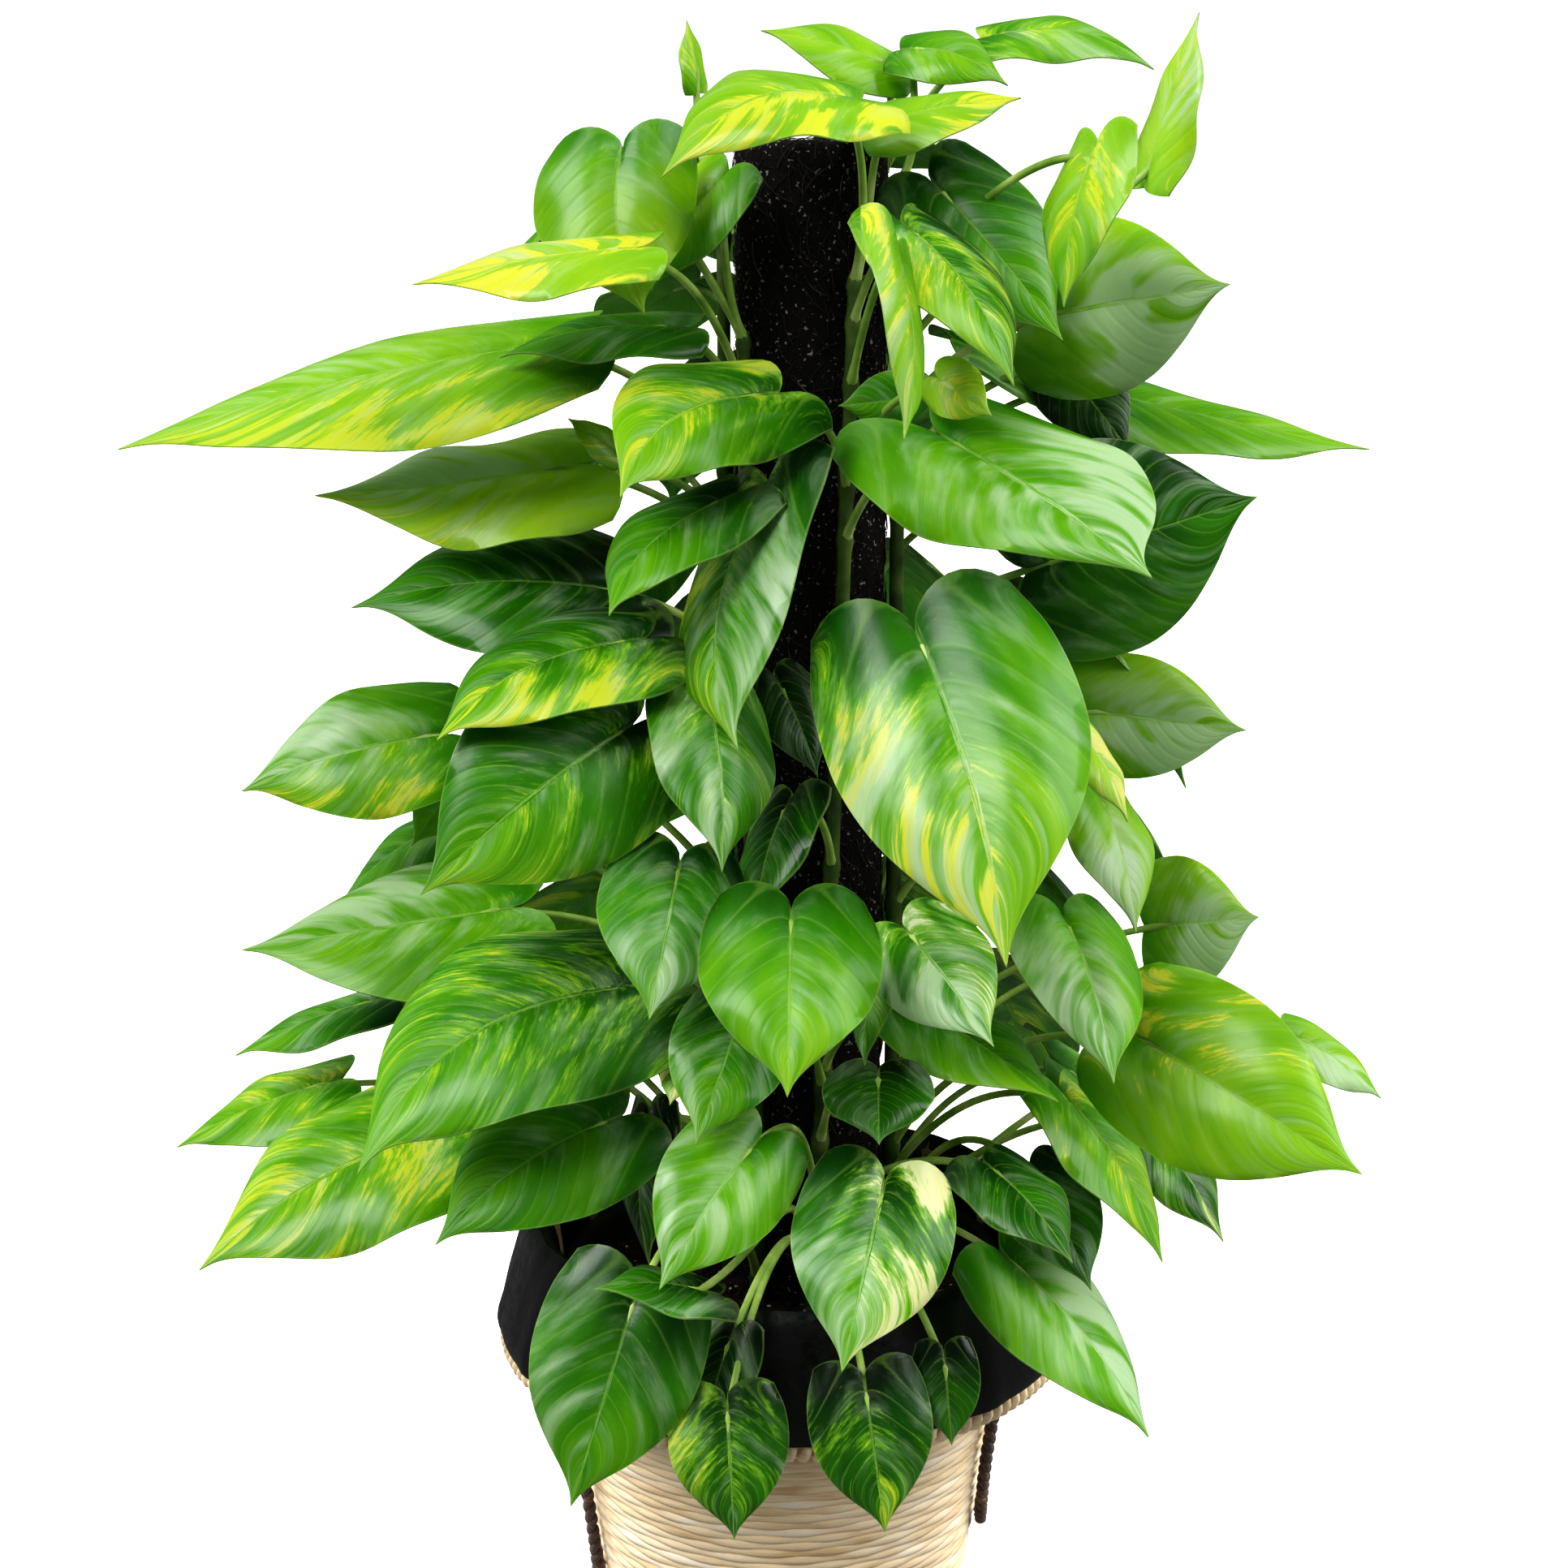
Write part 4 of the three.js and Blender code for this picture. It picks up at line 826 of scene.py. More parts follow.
def jute_plait():
    """Dark dyed jute rope, three strands plaited: matte, hairy and brown-black, paler where it rubs."""
    finish, tree, _, (lay, wear) = grained_finish(
        "dyed_jute_plait", (1.6, {"Detail": 4.0, "Roughness": 0.7}), (14, {"Detail": 2.0}))
    worn = add(tree, MATH, [wear, 0.4], operation="MULTIPLY")
    mixed = add(tree, MATH, [lay, 0.65, worn], operation="MULTIPLY_ADD")
    colour = add(tree, RAMP, [mixed],
                 stops=[(0.35, "#1c0e08"), (0.55, "#452818"), (0.75, "#9a7452")])
    sheen = {"Sheen Weight": 0.2, "Sheen Roughness": 0.6}
    return finish_with(finish, colour, 0.85, 1.5, (0.8, 0.8, lay), sheen)


def polythene_film():
    """Black polythene film, blown and laid in by hand: thin, satin and creased, with soft white glints."""
    finish, tree, _, (crease, scuff) = grained_finish(
        "black_polythene_film", (16, {"Detail": 5.0, "Distortion": 0.8}), (4, {"Detail": 3.0}))
    colour = add(tree, RAMP, [scuff], stops=[(0.4, "#030304"), (0.8, "#0b0b0c")])
    rough = add(tree, RANGE, [scuff, 0.3, 0.8, 0.28, 0.5])
    return finish_with(finish, colour, rough, 1.51, (0.5, 1.2, crease))


def nursery_plastic():
    """Polypropylene nursery pot, injection moulded from regrind: dark, satin and finely pebbled."""
    finish, tree, _, (pebble, dust) = grained_finish(
        "moulded_polypropylene", (1.2, {"Detail": 2.0}), (25, {"Detail": 4.0}))
    colour = add(tree, RAMP, [dust], stops=[(0.35, "#1a1614"), (0.7, "#342c26")])
    rough = add(tree, RANGE, [dust, 0.3, 0.8, 0.42, 0.65])
    return finish_with(finish, colour, rough, 1.49, (0.25, 0.2, pebble))


def potting_peat():
    """Potting compost of peat, bark and perlite, sieved: damp dark brown crumbs with a few white grains."""
    finish, tree, where, (crumb,) = grained_finish("potting_compost", (5, {"Detail": 5.0, "Roughness": 0.65}))
    grain = add(tree, "ShaderNodeTexVoronoi", {"Vector": where, "Scale": 1 / (7 * MM)})
    white = add(tree, RANGE, [grain.outputs["Distance"], 0.17, 0.12])
    dark = add(tree, RAMP, [crumb], stops=[(0.3, "#120b07"), (0.55, "#2c1c12"), (0.8, "#5a4230")])
    colour = add(tree, MIX, {0: white, 6: dark, 7: linear("#cfc8ba")}, data_type="RGBA")
    return finish_with(finish, colour.outputs[2], 0.9, 1.4, (0.9, 2, crumb))


def sawn_pine():
    """Pine stake, turned and sawn across: matte tan wood with growth rings on the cut and grain down it."""
    finish, tree, where, _ = grained_finish("sawn_pine")
    centred = add(tree, "ShaderNodeMapping", {
        "Vector": where, "Location": (-POLE_X * MM, 0.004, 0), "Scale": (1, 1, 0.04)})
    rings = add(tree, "ShaderNodeTexWave", {
        "Vector": centred, "Scale": 1 / (14 * MM), "Distortion": 2.5, "Detail": 2.0,
    }, wave_type="RINGS", rings_direction="Z").outputs["Fac"]
    colour = add(tree, RAMP, [rings], stops=[(0.1, "#5f4127"), (0.6, "#8d6a43"), (0.95, "#a98a60")])
    return finish_with(finish, colour, 0.8, 1.5, (0.3, 0.3, rings))


def studio_paper():
    """Seamless studio paper, rolled: matte and near white, with a faint tooth."""
    finish, tree, _, (tooth,) = grained_finish("studio_paper", (3, {"Detail": 2.0}))
    colour = add(tree, RAMP, [tooth], stops=[(0.3, "#f7f7f5"), (0.7, "#fcfcfa")])
    glow = {"Emission Color": linear("#ffffff"), "Emission Strength": 0.4}
    return finish_with(finish, colour, 0.9, 1.5, more=glow)


# Trees that grow what repeats or follows a path

def tube_rule():
    """Lines with a thickness become round tubes with closed ends."""
    rule, given = new_rule("stem_tubes", {"Sides": 8})
    line = add(rule, "GeometryNodeMeshToCurve", [given["Geometry"]])
    thickness = add(rule, "GeometryNodeInputNamedAttribute", ["thickness"], data_type="FLOAT")
    ring = add(rule, "GeometryNodeCurvePrimitiveCircle", {0: given["Sides"], 4: 1.0})
    tube = add(rule, "GeometryNodeCurveToMesh", [line, ring, thickness, True])
    return end_rule(rule, given, tube)


def from_axis(rule):
    """Where each point is, as x, y and z, and the level direction to it from the basket's axis."""
    parts = add(rule, "ShaderNodeSeparateXYZ", [add(rule, "GeometryNodeInputPosition")]).outputs
    level = add(rule, "ShaderNodeCombineXYZ", [parts[0], parts[1]])
    return parts, add(rule, VECTOR_MATH, [level], operation="NORMALIZE")


def weft_rule():
    """Each point on the basket's axis, with its radius and row, becomes a strand that runs round the
    basket and passes in front of one stake and behind the next."""
    rule, given = new_rule("weft_rows", {
        "Stakes": 40, "Samples": 120, "Weave": 0.0005, "Stray": 0.0012, "Strand Radius": 0.0015,
        "Row Shift": 0.37, "Stray Scale": 9.0, "Least Width": 0.75, "Width Stray": 0.5})
    radius = add(rule, "GeometryNodeInputNamedAttribute", ["wall radius"], data_type="FLOAT")
    row = add(rule, "GeometryNodeInputNamedAttribute", ["row"], data_type="FLOAT")
    round_scale = add(rule, "ShaderNodeCombineXYZ", [radius, radius, 1.0])
    ring = add(rule, "GeometryNodeCurvePrimitiveCircle", {0: given["Samples"], 4: 1.0})
    points = add(rule, "GeometryNodeMeshToPoints", [given["Geometry"]])
    rows = add(rule, "GeometryNodeInstanceOnPoints", {0: points, 2: ring, 6: round_scale})
    strands = add(rule, "GeometryNodeRealizeInstances", [rows])
    parts, outward = from_axis(rule)
    angle = add(rule, MATH, [parts[1], parts[0]], operation="ARCTAN2")
    waves = add(rule, MATH, [given["Stakes"], 0.5], operation="MULTIPLY")
    passed = add(rule, MATH, [angle, waves], operation="MULTIPLY")
    phase = add(rule, MATH, [row, math.pi, passed], operation="MULTIPLY_ADD")
    swing = add(rule, MATH, [phase], operation="SINE")
    in_out = add(rule, MATH, [swing, given["Weave"]], operation="MULTIPLY")
    # each row has its own part of the noise, by which it rises, falls, thickens and thins
    raised = add(rule, MATH, [row, given["Row Shift"], parts[2]], operation="MULTIPLY_ADD")
    place = add(rule, "ShaderNodeCombineXYZ", [parts[0], parts[1], raised])
    noise = add(rule, NOISE, {"Vector": place, "Scale": given["Stray Scale"], "Detail": 2.0})
    centred = add(rule, MATH, [noise, 0.5], operation="SUBTRACT")
    lift = add(rule, MATH, [centred, given["Stray"]], operation="MULTIPLY")
    moved_out = add(rule, VECTOR_MATH, {0: outward, "Scale": in_out}, operation="SCALE")
    moved_up = add(rule, "ShaderNodeCombineXYZ", [0.0, 0.0, lift])
    shift = add(rule, VECTOR_MATH, [moved_out, moved_up], operation="ADD")
    woven = add(rule, "GeometryNodeSetPosition", {0: strands, 3: shift})
    section = add(rule, "GeometryNodeCurvePrimitiveCircle", {0: 6, 4: 1.0})
    share = add(rule, MATH, [noise, given["Width Stray"], given["Least Width"]],
                operation="MULTIPLY_ADD")
    thick = add(rule, MATH, [share, given["Strand Radius"]], operation="MULTIPLY")
    wall = add(rule, "GeometryNodeCurveToMesh", [woven, section, thick, False])
    return end_rule(rule, given, wall)


def strands_rule():
    """A line or ring that lies about the basket becomes strands that swing sideways along it and over and
    under it. The first values plait three strands, which swing in depth twice as often as sideways."""
    rule, given = new_rule("wound_strands", {
        "Strands": 3, "Samples": 300, "Turns": 16.0, "Reach": 0.0021, "Depth": 0.0011, "Depth Swings": 2.0,
        "Depth Start": 0.0, "Strand Radius": 0.0021, "Sides": 8})
    line = add(rule, "GeometryNodeMeshToCurve", [given["Geometry"]])
    even = add(rule, "GeometryNodeResampleCurve", {0: line, 2: given["Samples"]})
    strands = add(rule, "GeometryNodeDuplicateElements", {0: even, 2: given["Strands"]}, domain="SPLINE")
    around = add(rule, MATH, [add(rule, "GeometryNodeSplineParameter"), TURN], operation="MULTIPLY")
    turn = add(rule, MATH, [around, given["Turns"]], operation="MULTIPLY")
    apart = add(rule, MATH, [TURN, given["Strands"]], operation="DIVIDE")
    phase = add(rule, MATH, [strands.outputs[1], apart, turn], operation="MULTIPLY_ADD")
    deep_phase = add(rule, MATH, [phase, given["Depth Swings"], given["Depth Start"]], operation="MULTIPLY_ADD")
    _, outward = from_axis(rule)
    across = add(rule, VECTOR_MATH, [add(rule, "GeometryNodeInputTangent"), outward], operation="CROSS_PRODUCT")
    sideways = add(rule, VECTOR_MATH, [across], operation="NORMALIZE")
    shifts = []
    for way, swing, most in ((sideways, phase, "Reach"), (outward, deep_phase, "Depth")):
        wave = add(rule, MATH, [swing], operation="SINE")
        amount = add(rule, MATH, [wave, given[most]], operation="MULTIPLY")
        shifts.append(add(rule, VECTOR_MATH, {0: way, "Scale": amount}, operation="SCALE"))
    shift = add(rule, VECTOR_MATH, shifts, operation="ADD")
    laid = add(rule, "GeometryNodeSetPosition", {0: strands, 3: shift})
    section = add(rule, "GeometryNodeCurvePrimitiveCircle", {0: given["Sides"], 4: given["Strand Radius"]})
    rope = add(rule, "GeometryNodeCurveToMesh", {0: laid, 1: section, 3: True})
    return end_rule(rule, given, rope)


def fibre_rule():
    """Short bent fibres of few sides lie over a surface, each turned, sized and shaded at random."""
    rule, given = new_rule("scattered_fibres", {
        "Density": 20000.0, "Fibre Length": 0.014, "Fibre Radius": 0.00022, "Bend": 0.16, "Rise": 0.12,
        "Least Turn": math.pi / 2 - 1.2, "Most Turn": math.pi / 2 + 1.2, "Least Size": 0.45, "Most Size": 1.3,
        "Seed": 5})
    spots = add(rule, "GeometryNodeDistributePointsOnFaces", {
        0: given["Geometry"], 4: given["Density"], 6: given["Seed"]})
    half, back, bend, rise = [
        add(rule, MATH, [given["Fibre Length"], share], operation="MULTIPLY")
        for share in (0.5, -0.5, given["Bend"], given["Rise"])]
    start = add(rule, "ShaderNodeCombineXYZ", [back])
    middle = add(rule, "ShaderNodeCombineXYZ", [0.0, bend, rise])
    end = add(rule, "ShaderNodeCombineXYZ", [half])
    arc = add(rule, "GeometryNodeCurveQuadraticBezier", [4, start, middle, end])
    section = add(rule, "GeometryNodeCurvePrimitiveCircle", {0: 3, 4: given["Fibre Radius"]})
    fibre = add(rule, "GeometryNodeCurveToMesh", {0: arc, 1: section, 3: True})
    turn, size, shade = [
        add(rule, "FunctionNodeRandomValue", {2: least, 3: most, 8: seed}, data_type="FLOAT").outputs[1]
        for least, most, seed in ((given["Least Turn"], given["Most Turn"], 3),
                                  (given["Least Size"], given["Most Size"], 11), (0.0, 1.0, 17))]
    upright = add(rule, "FunctionNodeAxisAngleToRotation", [UP, turn])
    turned_spot = add(rule, "FunctionNodeRotateRotation", [spots.outputs[2], upright], rotation_space="LOCAL")
    laid = add(rule, "GeometryNodeInstanceOnPoints", {0: spots, 2: fibre, 5: turned_spot, 6: size})
    marked = add(rule, "GeometryNodeStoreNamedAttribute", {0: laid, 2: "strand", 3: shade},
                 data_type="FLOAT", domain="INSTANCE")
    return end_rule(rule, given, marked)


def crumb_rule():
    """Crumbs of few faces lie over the soil, each squashed, turned and sized at random."""
    rule, given = new_rule("scattered_crumbs", {
        "Density": 40000.0, "Crumb Radius": 0.0022, "Steepest": 0.5, "Seed": 9})
    facing = add(rule, "ShaderNodeSeparateXYZ", [add(rule, "GeometryNodeInputNormal")]).outputs[2]
    flat_up = add(rule, "FunctionNodeCompare", [facing, given["Steepest"]],
                  data_type="FLOAT", operation="GREATER_THAN")
    spots = add(rule, "GeometryNodeDistributePointsOnFaces", {
        0: given["Geometry"], 1: flat_up, 4: given["Density"], 6: given["Seed"]})
    crumb = add(rule, "GeometryNodeMeshIcoSphere", [given["Crumb Radius"], 1])
    size, turn = [
        add(rule, "FunctionNodeRandomValue", {0: least, 1: most, 8: seed}, data_type="FLOAT_VECTOR")
        for least, most, seed in (((0.4, 0.4, 0.3), (1.4, 1.2, 0.9), 2), ((-0.6, -0.6, 0.0), (0.6, 0.6, 6.28), 6))]
    laid = add(rule, "GeometryNodeInstanceOnPoints", {0: spots, 2: crumb, 5: turn, 6: size})
    return end_rule(rule, given, laid)


# The plant

def joined_blades(own):
    """Blades as one list of points and faces, with their attributes in the same order."""
    points, faces, values = [], [], {}
    for leaf in own:
        leaf_points, leaf_faces, leaf_values = blade(leaf)
        first = sum(len(part) for part in points)
        points.append(leaf_points)
        faces += [tuple(corner + first for corner in face) for face in leaf_faces]
        for label, rows in leaf_values.items():
            values.setdefault(label, []).append(rows)
    return np.concatenate(points), faces, {label: np.concatenate(rows) for label, rows in values.items()}


leaf_finish = leaf_cuticle()
skin_finish = stalk_skin()
tubes = tube_rule()

leaves = [seen_leaf(row) for row in SEEN_LEAVES] + [rear_leaf(index) for index in range(REAR_COUNT)]
for number, leaf in enumerate(leaves):
    leaf.number = number
    leaf.vine = leaf.vine or nearest_vine(leaf)

for vine in VINES:
    own = [leaf for leaf in leaves if leaf.vine == vine]
    points, faces, values = joined_blades(own)
    blades = new_piece(f"blades_{vine}", points, faces, values=values, finish=leaf_finish, sharp=55)
    stalks = [stalk(leaf) for leaf in own]
    lines = [stem(vine, [node for _, node in stalks])] + [line for line, _ in stalks]
    stems = grow(polylines(f"stalks_{vine}", lines), tubes, {"Material": skin_finish})
    for piece in (blades, stems):
        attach(piece, "root")
        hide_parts(f"vine_{vine}")


# The pole

SLEEVE_SIDES = 96
HEART_SIDES = 48
SLEEVE_BORE = POLE_CORE_RADIUS + 0.3
SLEEVE_FACE = POLE_RADIUS - 1.5
sleeve_line = [(SLEEVE_BORE, POLE_FOOT), (SLEEVE_FACE, POLE_FOOT)]
sleeve_line += [(SLEEVE_FACE, height) for height in np.linspace(POLE_FOOT + 6, POLE_TOP - 4, 110)]
sleeve_line += [(POLE_RADIUS - 3, POLE_TOP - 1), (POLE_RADIUS - 6, POLE_TOP), (POLE_CORE_RADIUS + 4, POLE_TOP),
                (SLEEVE_BORE, POLE_TOP - 0.4)]

# Lumps of the matting: how high in millimetres, how many round the pole, how far each ring turns them
LUMPS = [(0.5, 7, 0.9), (0.4, 13, -1.7)]


def matting_lumps(angles, place):
    """The matting's lumps, in millimetres, which leave its bore plain."""
    if place in (0, len(sleeve_line) - 1):
        return 0.0, 0.0
    return sum(high * np.sin(count * angles + twist * place) for high, count, twist in LUMPS), 0.0


points, faces = turned(sleeve_line, SLEEVE_SIDES, POLE_X, matting_lumps)
sleeve = new_piece("coir_wrap", points, faces, finish=coir_matting())
loose = grow(new_piece("coir_fibres", points, faces), fibre_rule(), {"Material": coir_fibre()})
for piece in (sleeve, loose):
    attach(piece, "root")
    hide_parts("coir_sleeve")

heart_line = [(0, POLE_FOOT), (POLE_CORE_RADIUS, POLE_FOOT), (POLE_CORE_RADIUS, POLE_TOP - 2),
              (POLE_CORE_RADIUS - 1, POLE_TOP - 0.8), (0, POLE_TOP - 0.5)]
points, faces = turned(heart_line, HEART_SIDES, POLE_X)
heart = new_piece("pole_heart", points, faces, finish=sawn_pine(), sharp=40)
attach(heart, "root")
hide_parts("pole_core")


# The basket: a shell with strands woven over its wall and under its base, and a whipped hem

CREAM_SHADES = [(0.3, "#cfae80"), (0.41, "#e2c89e"), (0.49, "#eed8b2"), (0.57, "#f2e0c0"), (0.68, "#f8ecd6")]
# The stakes' shades, darker than the strands', are partly the stakes' own tan and partly painted shade in the gaps
# between strands, where the shell shows
STAKE_SHADES = [(0.35, "#96744c"), (0.5, "#b8946a"), (0.65, "#d4b48a")]
CREAM_RELIEF = 0.4
STAKE_RELIEF = 0.5
STRAND_PITCH = 4.1
STRAND_RADIUS = 2.5
STRAND_INSET = 2.4
STRAND_FOOT = 2.1
STRANDS_HIDDEN_ABOVE = 222
FLOOR_STRANDS = (4, 81)
SHELL_SIDES = 120
SHELL_POINTS = 24
SHELL_INSET = 2.9
SHELL_FLOOR = 1.2
HEM_RADIUS = 139.6
HEM_HEIGHT = 205.2
HEM_POINTS = 180
HEM_WRAPS = 130
WRAP_POINTS = 9
WRAP_RADIUS = 4.2
WHIP_RADIUS = 2.8

seagrass = woven_weft("bleached_seagrass", CREAM_SHADES, CREAM_RELIEF)
# the shell wears the stakes' darker colours: the stakes' own tan, and painted shade in the gaps between the strands
stakes_with_gap_shade = woven_weft("seagrass_stakes_gap_shade", STAKE_SHADES, STAKE_RELIEF)


def wall_radius(height):
    """The wall's outer radius at a height, both in millimetres."""
    radii, heights = np.transpose(WALL_LINE)
    return np.interp(height, heights, radii)


shell_outer = [(radius - SHELL_INSET, max(SHELL_FLOOR, height))
               for radius, height in along_line(WALL_LINE, SHELL_POINTS)]
shell_line = [(0, SHELL_FLOOR)] + shell_outer + HEM_FACE[::-1] + LINED_FACE[::-1]
points, faces = turned(shell_line, SHELL_SIDES)
shell = new_piece("basket_shell", points, faces, finish=stakes_with_gap_shade, sharp=40)

rows = np.arange(STRAND_FOOT, STRANDS_HIDDEN_ABOVE, STRAND_PITCH)
floor_radii = np.arange(*FLOOR_STRANDS, STRAND_PITCH)
weft_points = [(0, 0, height * MM) for height in rows] + [(0, 0, STRAND_FOOT * MM)] * len(floor_radii)
weft_values = {
    "wall radius": np.concatenate([wall_radius(rows) - STRAND_INSET, floor_radii]) * MM,
    "row": np.arange(len(weft_points), dtype=float),
}
weave = grow(new_piece("woven_strands", weft_points, values=weft_values), weft_rule(),
             {"Strand Radius": STRAND_RADIUS * MM, "Material": seagrass})

hem_ring = [(HEM_RADIUS * MM * math.cos(angle), HEM_RADIUS * MM * math.sin(angle), HEM_HEIGHT * MM)
            for angle in np.arange(HEM_POINTS) * TURN / HEM_POINTS]
hem_edges = chain(0, HEM_POINTS) + [(HEM_POINTS - 1, 0)]
# one strand wound round the hem, the other way from a plait's and as deep as it is wide
winding = strands_rule()
hem = grow(new_piece("whipped_hem", hem_ring, edges=hem_edges), winding, {
    "Strands": 1, "Samples": HEM_WRAPS * WRAP_POINTS, "Turns": float(-HEM_WRAPS), "Reach": WRAP_RADIUS * MM,
    "Depth": WRAP_RADIUS * MM, "Depth Swings": 1.0, "Depth Start": math.pi / 2, "Strand Radius": WHIP_RADIUS * MM,
    "Sides": 6, "Material": seagrass})
for piece in (shell, weave, hem):
    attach(piece, "root")
    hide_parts("basket")


# The rope loops: the side each hangs on, its half width and the height of its lowest point

HANDLES = {"handle_right": (1, 46, 97), "handle_left": (-1, 42, 58)}
LOOP_TOP = 215
LOOP_FULLNESS = 0.7
LOOP_POINTS = 61
ROPE_OUT = 4.7
ROPE_ENDS = [(1.5, 224), (4, 222)]

plait = jute_plait()


def beside_wall(side, out, across, height):
    """A point in metres at a distance out from the basket's wall, across from its left or right side."""
    radius = wall_radius(height)
    azimuth = across / radius
    radius += out
    return side * radius * math.cos(azimuth) * MM, radius * math.sin(azimuth) * MM, height * MM


for name, (side, half_width, low) in HANDLES.items():
    turns = np.linspace(0, math.pi, LOOP_POINTS)
    line = [beside_wall(side, out, half_width, height) for out, height in ROPE_ENDS]
    line += [beside_wall(side, ROPE_OUT, half_width * math.cos(turn),
                         LOOP_TOP - (LOOP_TOP - low) * abs(math.sin(turn)) ** LOOP_FULLNESS) for turn in turns]
    line += [beside_wall(side, out, -half_width, height) for out, height in ROPE_ENDS[::-1]]
    rope = new_piece(f"{name}_plait", line, edges=chain(0, len(line)))
    grow(rope, winding, {"Material": plait})
    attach(rope, "root")
    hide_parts(name)


# The film that lines the basket and shows on the folded rim

FILM_POINTS = 90
FILM_NEAR = 0.3
FILM_FAR = 1.1
FILM_SIDES = 180
# Creases start at a share of the way along the film and are full a little farther on. Each kind has its
# depth in millimetres, how many go round, how unevenly they stand and how they drift with height.
CREASES_START = 0.62
CREASES_RUN = 0.1
CREASES = [(1.04, 17, 2.2, 0.02), (0.624, 31, 0, -0.05)]
UNEVEN_ROUND = 3

film_near, film_far = [along_line(moved(LINED_FACE, distance), FILM_POINTS) for distance in (FILM_NEAR, FILM_FAR)]
film_near[0] = (0, LINED_FACE[0][1] + FILM_NEAR)
film_far[0] = (0, LINED_FACE[0][1] + FILM_FAR)


def creases(angles, place):
    """Folds down the film and slack across it, in millimetres, the same on both of its faces."""
    place = min(place, 2 * FILM_POINTS - 1 - place)
    height = film_near[place][1]
    deep = max(0, min(1, (place / (FILM_POINTS - 1) - CREASES_START) / CREASES_RUN))
    folds = sum(depth * np.sin(count * angles + uneven * np.sin(UNEVEN_ROUND * angles) + drift * height)
                for depth, count, uneven, drift in CREASES)
    return deep * np.maximum(0, folds), 0.0


points, faces = turned([*film_near, *film_far[::-1]], FILM_SIDES, wobble=creases)
film = new_piece("film_lining", points, faces, finish=polythene_film(), sharp=60)
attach(film, "root")
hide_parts("lining")


# The grow pot and its compost

POT_SIDES = 96
pot_line = [
    (6, 6.8), (66, 6.8), (70, 7.4), (72, 9.5), (106.6, 232), (107.4, 235), (111, 235.6), (111.5, 237),
    (111.5, 240.5), (111, 241.7), (109.8, 242), (106.6, 242), (105.8, 241.2), (105.4, 237), (70.6, 11),
    (69, 9.4), (66, 8.7), (6, 8.6),
]
points, faces = turned(pot_line, POT_SIDES)
pot = new_piece("nursery_pot", points, faces, finish=nursery_plastic(), sharp=40)
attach(pot, "root")
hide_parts("grow_pot")

# The compost's foot, how far its side runs out and up from there, and how its top falls toward the pot
SOIL_FOOT = (69.4, 8.9)
SOIL_SIDE = (34.6, 217)
SOIL_FALL = 4
FALL_FROM = 70
FALL_RUN = 34
FALL_POWER = 1.5
SOIL_RINGS = 30
SOIL_SIDE_RINGS = 12
# Clods: how high in millimetres, how many round the middle, and how they turn with each millimetre out
CLODS = [(0.64, 3, 0.09), (0.56, 7, -0.13), (0.4, 2, 0.31)]

soil_line = [(0, SOIL_FOOT[1]), SOIL_FOOT]
soil_line += [(SOIL_FOOT[0] + SOIL_SIDE[0] * share, SOIL_FOOT[1] + SOIL_SIDE[1] * share)
              for share in np.linspace(0.05, 1, SOIL_SIDE_RINGS)]
soil_side_points = len(soil_line)
soil_line += [(radius, SOIL_HEIGHT - SOIL_FALL * max(0, (radius - FALL_FROM) / FALL_RUN) ** FALL_POWER)
              for radius in np.linspace(100, 4, SOIL_RINGS)] + [(0, SOIL_HEIGHT)]


def clods(angles, place):
    """The heaps and dips of the compost's face, in millimetres."""
    radius = soil_line[place][0]
    if place < soil_side_points or radius == 0:
        return 0.0, 0.0
    return 0.0, sum(high * np.sin(count * angles + twist * radius) for high, count, twist in CLODS)


compost = potting_peat()
points, faces = turned(soil_line, POT_SIDES, wobble=clods)
soil = new_piece("compost_fill", points, faces, finish=compost)
crumbs = grow(new_piece("compost_crumbs", points, faces), crumb_rule(), {"Material": compost})
for piece in (soil, crumbs):
    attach(piece, "root")
    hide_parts("soil")


# Floor, light and camera

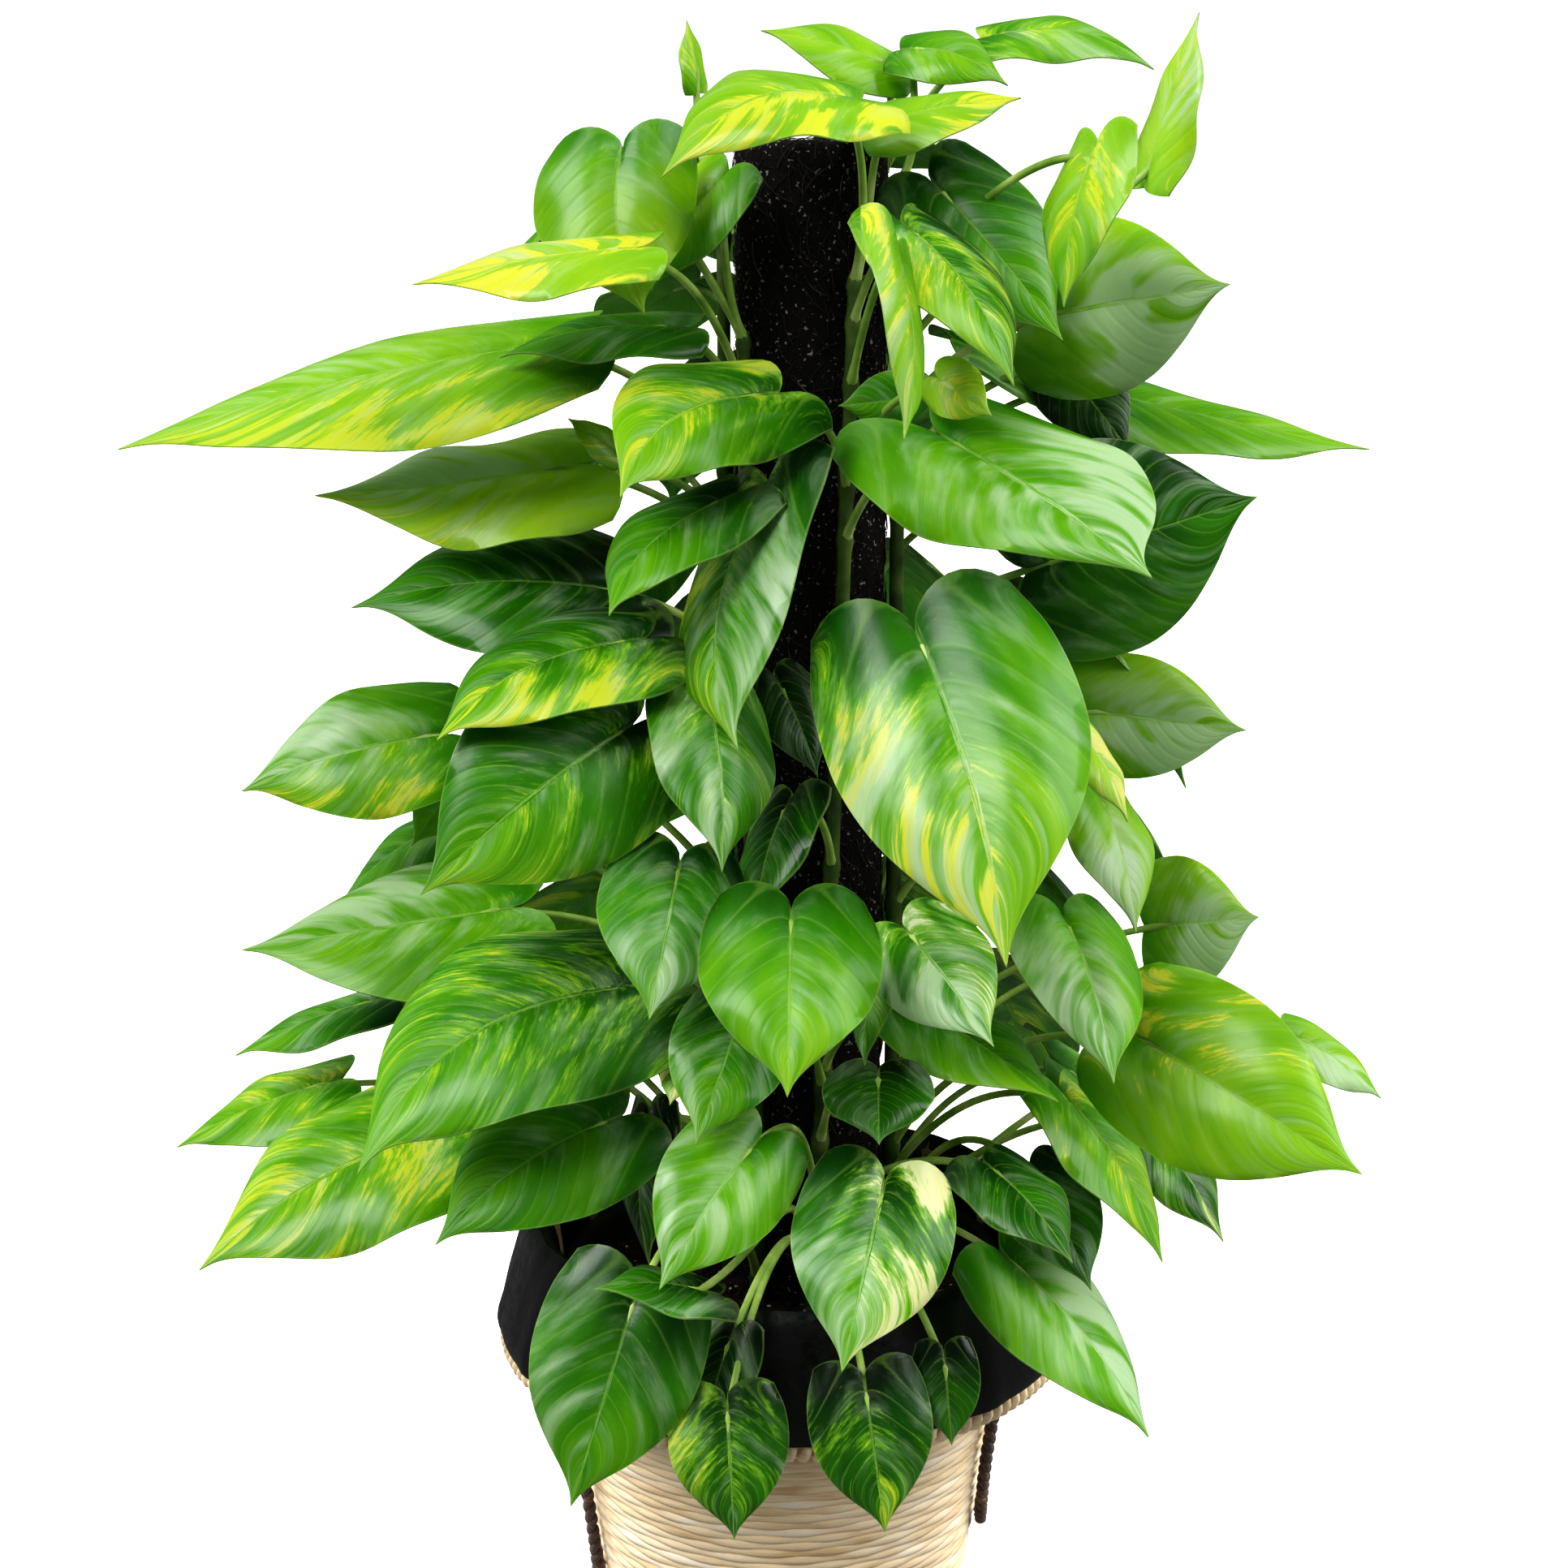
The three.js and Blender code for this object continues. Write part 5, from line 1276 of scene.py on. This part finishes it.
FLOOR_HALF = 12.0
floor_points = [(x * FLOOR_HALF, y * FLOOR_HALF, 0) for x, y in ((-1, -1), (1, -1), (1, 1), (-1, 1))]
floor = new_piece("studio_floor", floor_points, [(0, 1, 2, 3)], finish=studio_paper())
floor.visible_glossy = False
floor.visible_diffuse = False

# The world is white to the camera, and dimmer where it lights the plant and shows in its gloss
SEEN_SKY = 1.0
LIT_SKY = 0.28
GLOSS_SKY = 0.15
world = bpy.data.worlds.new("studio")
world.use_nodes = True
world.node_tree.nodes.clear()
ray = add(world.node_tree, "ShaderNodeLightPath").outputs
fill = add(world.node_tree, RANGE, [ray["Is Glossy Ray"], 0.0, 1.0, LIT_SKY, GLOSS_SKY])
glow = add(world.node_tree, RANGE, [ray["Is Camera Ray"], 0.0, 1.0, fill, SEEN_SKY])
sky = add(world.node_tree, "ShaderNodeBackground", [linear("#ffffff"), glow])
add(world.node_tree, "ShaderNodeOutputWorld", {"Surface": sky})
bpy.context.scene.world = world


def soft_sun(name, come_from, spread, strength, glossy=True):
    """Even light from one side of the sky. Spread is how wide it looks, in degrees."""
    lamp = bpy.data.lights.new(name, "SUN")
    lamp.angle = math.radians(spread)
    lamp.energy = strength
    sun = bpy.data.objects.new(name, lamp)
    sun.rotation_euler = (-Vector(come_from)).to_track_quat("-Z", "Y").to_euler()
    sun.visible_glossy = glossy
    bpy.context.scene.collection.objects.link(sun)


soft_sun("key", (-1.2, -1.3, 1.9), 34, 2.6)
soft_sun("side", (1.5, -0.5, 1.4), 40, 2.0)
soft_sun("rear_right", (1.4, 1.0, 0.6), 34, 2.8, glossy=False)
soft_sun("rear_left", (-1.4, 1.0, 0.6), 34, 2.8, glossy=False)

lens = bpy.data.cameras.new("camera")
lens.sensor_width = SENSOR
lens.lens = FOCAL_PIXELS / IMAGE_PIXELS * SENSOR
camera = bpy.data.objects.new("camera", lens)
camera.location = EYE
camera.rotation_euler = (math.pi / 2 - LOOK_DOWN, 0, 0)
bpy.context.scene.collection.objects.link(camera)
bpy.context.scene.camera = camera
bpy.context.scene.view_settings.view_transform = "Standard"
bpy.context.scene.view_settings.look = "Medium High Contrast"
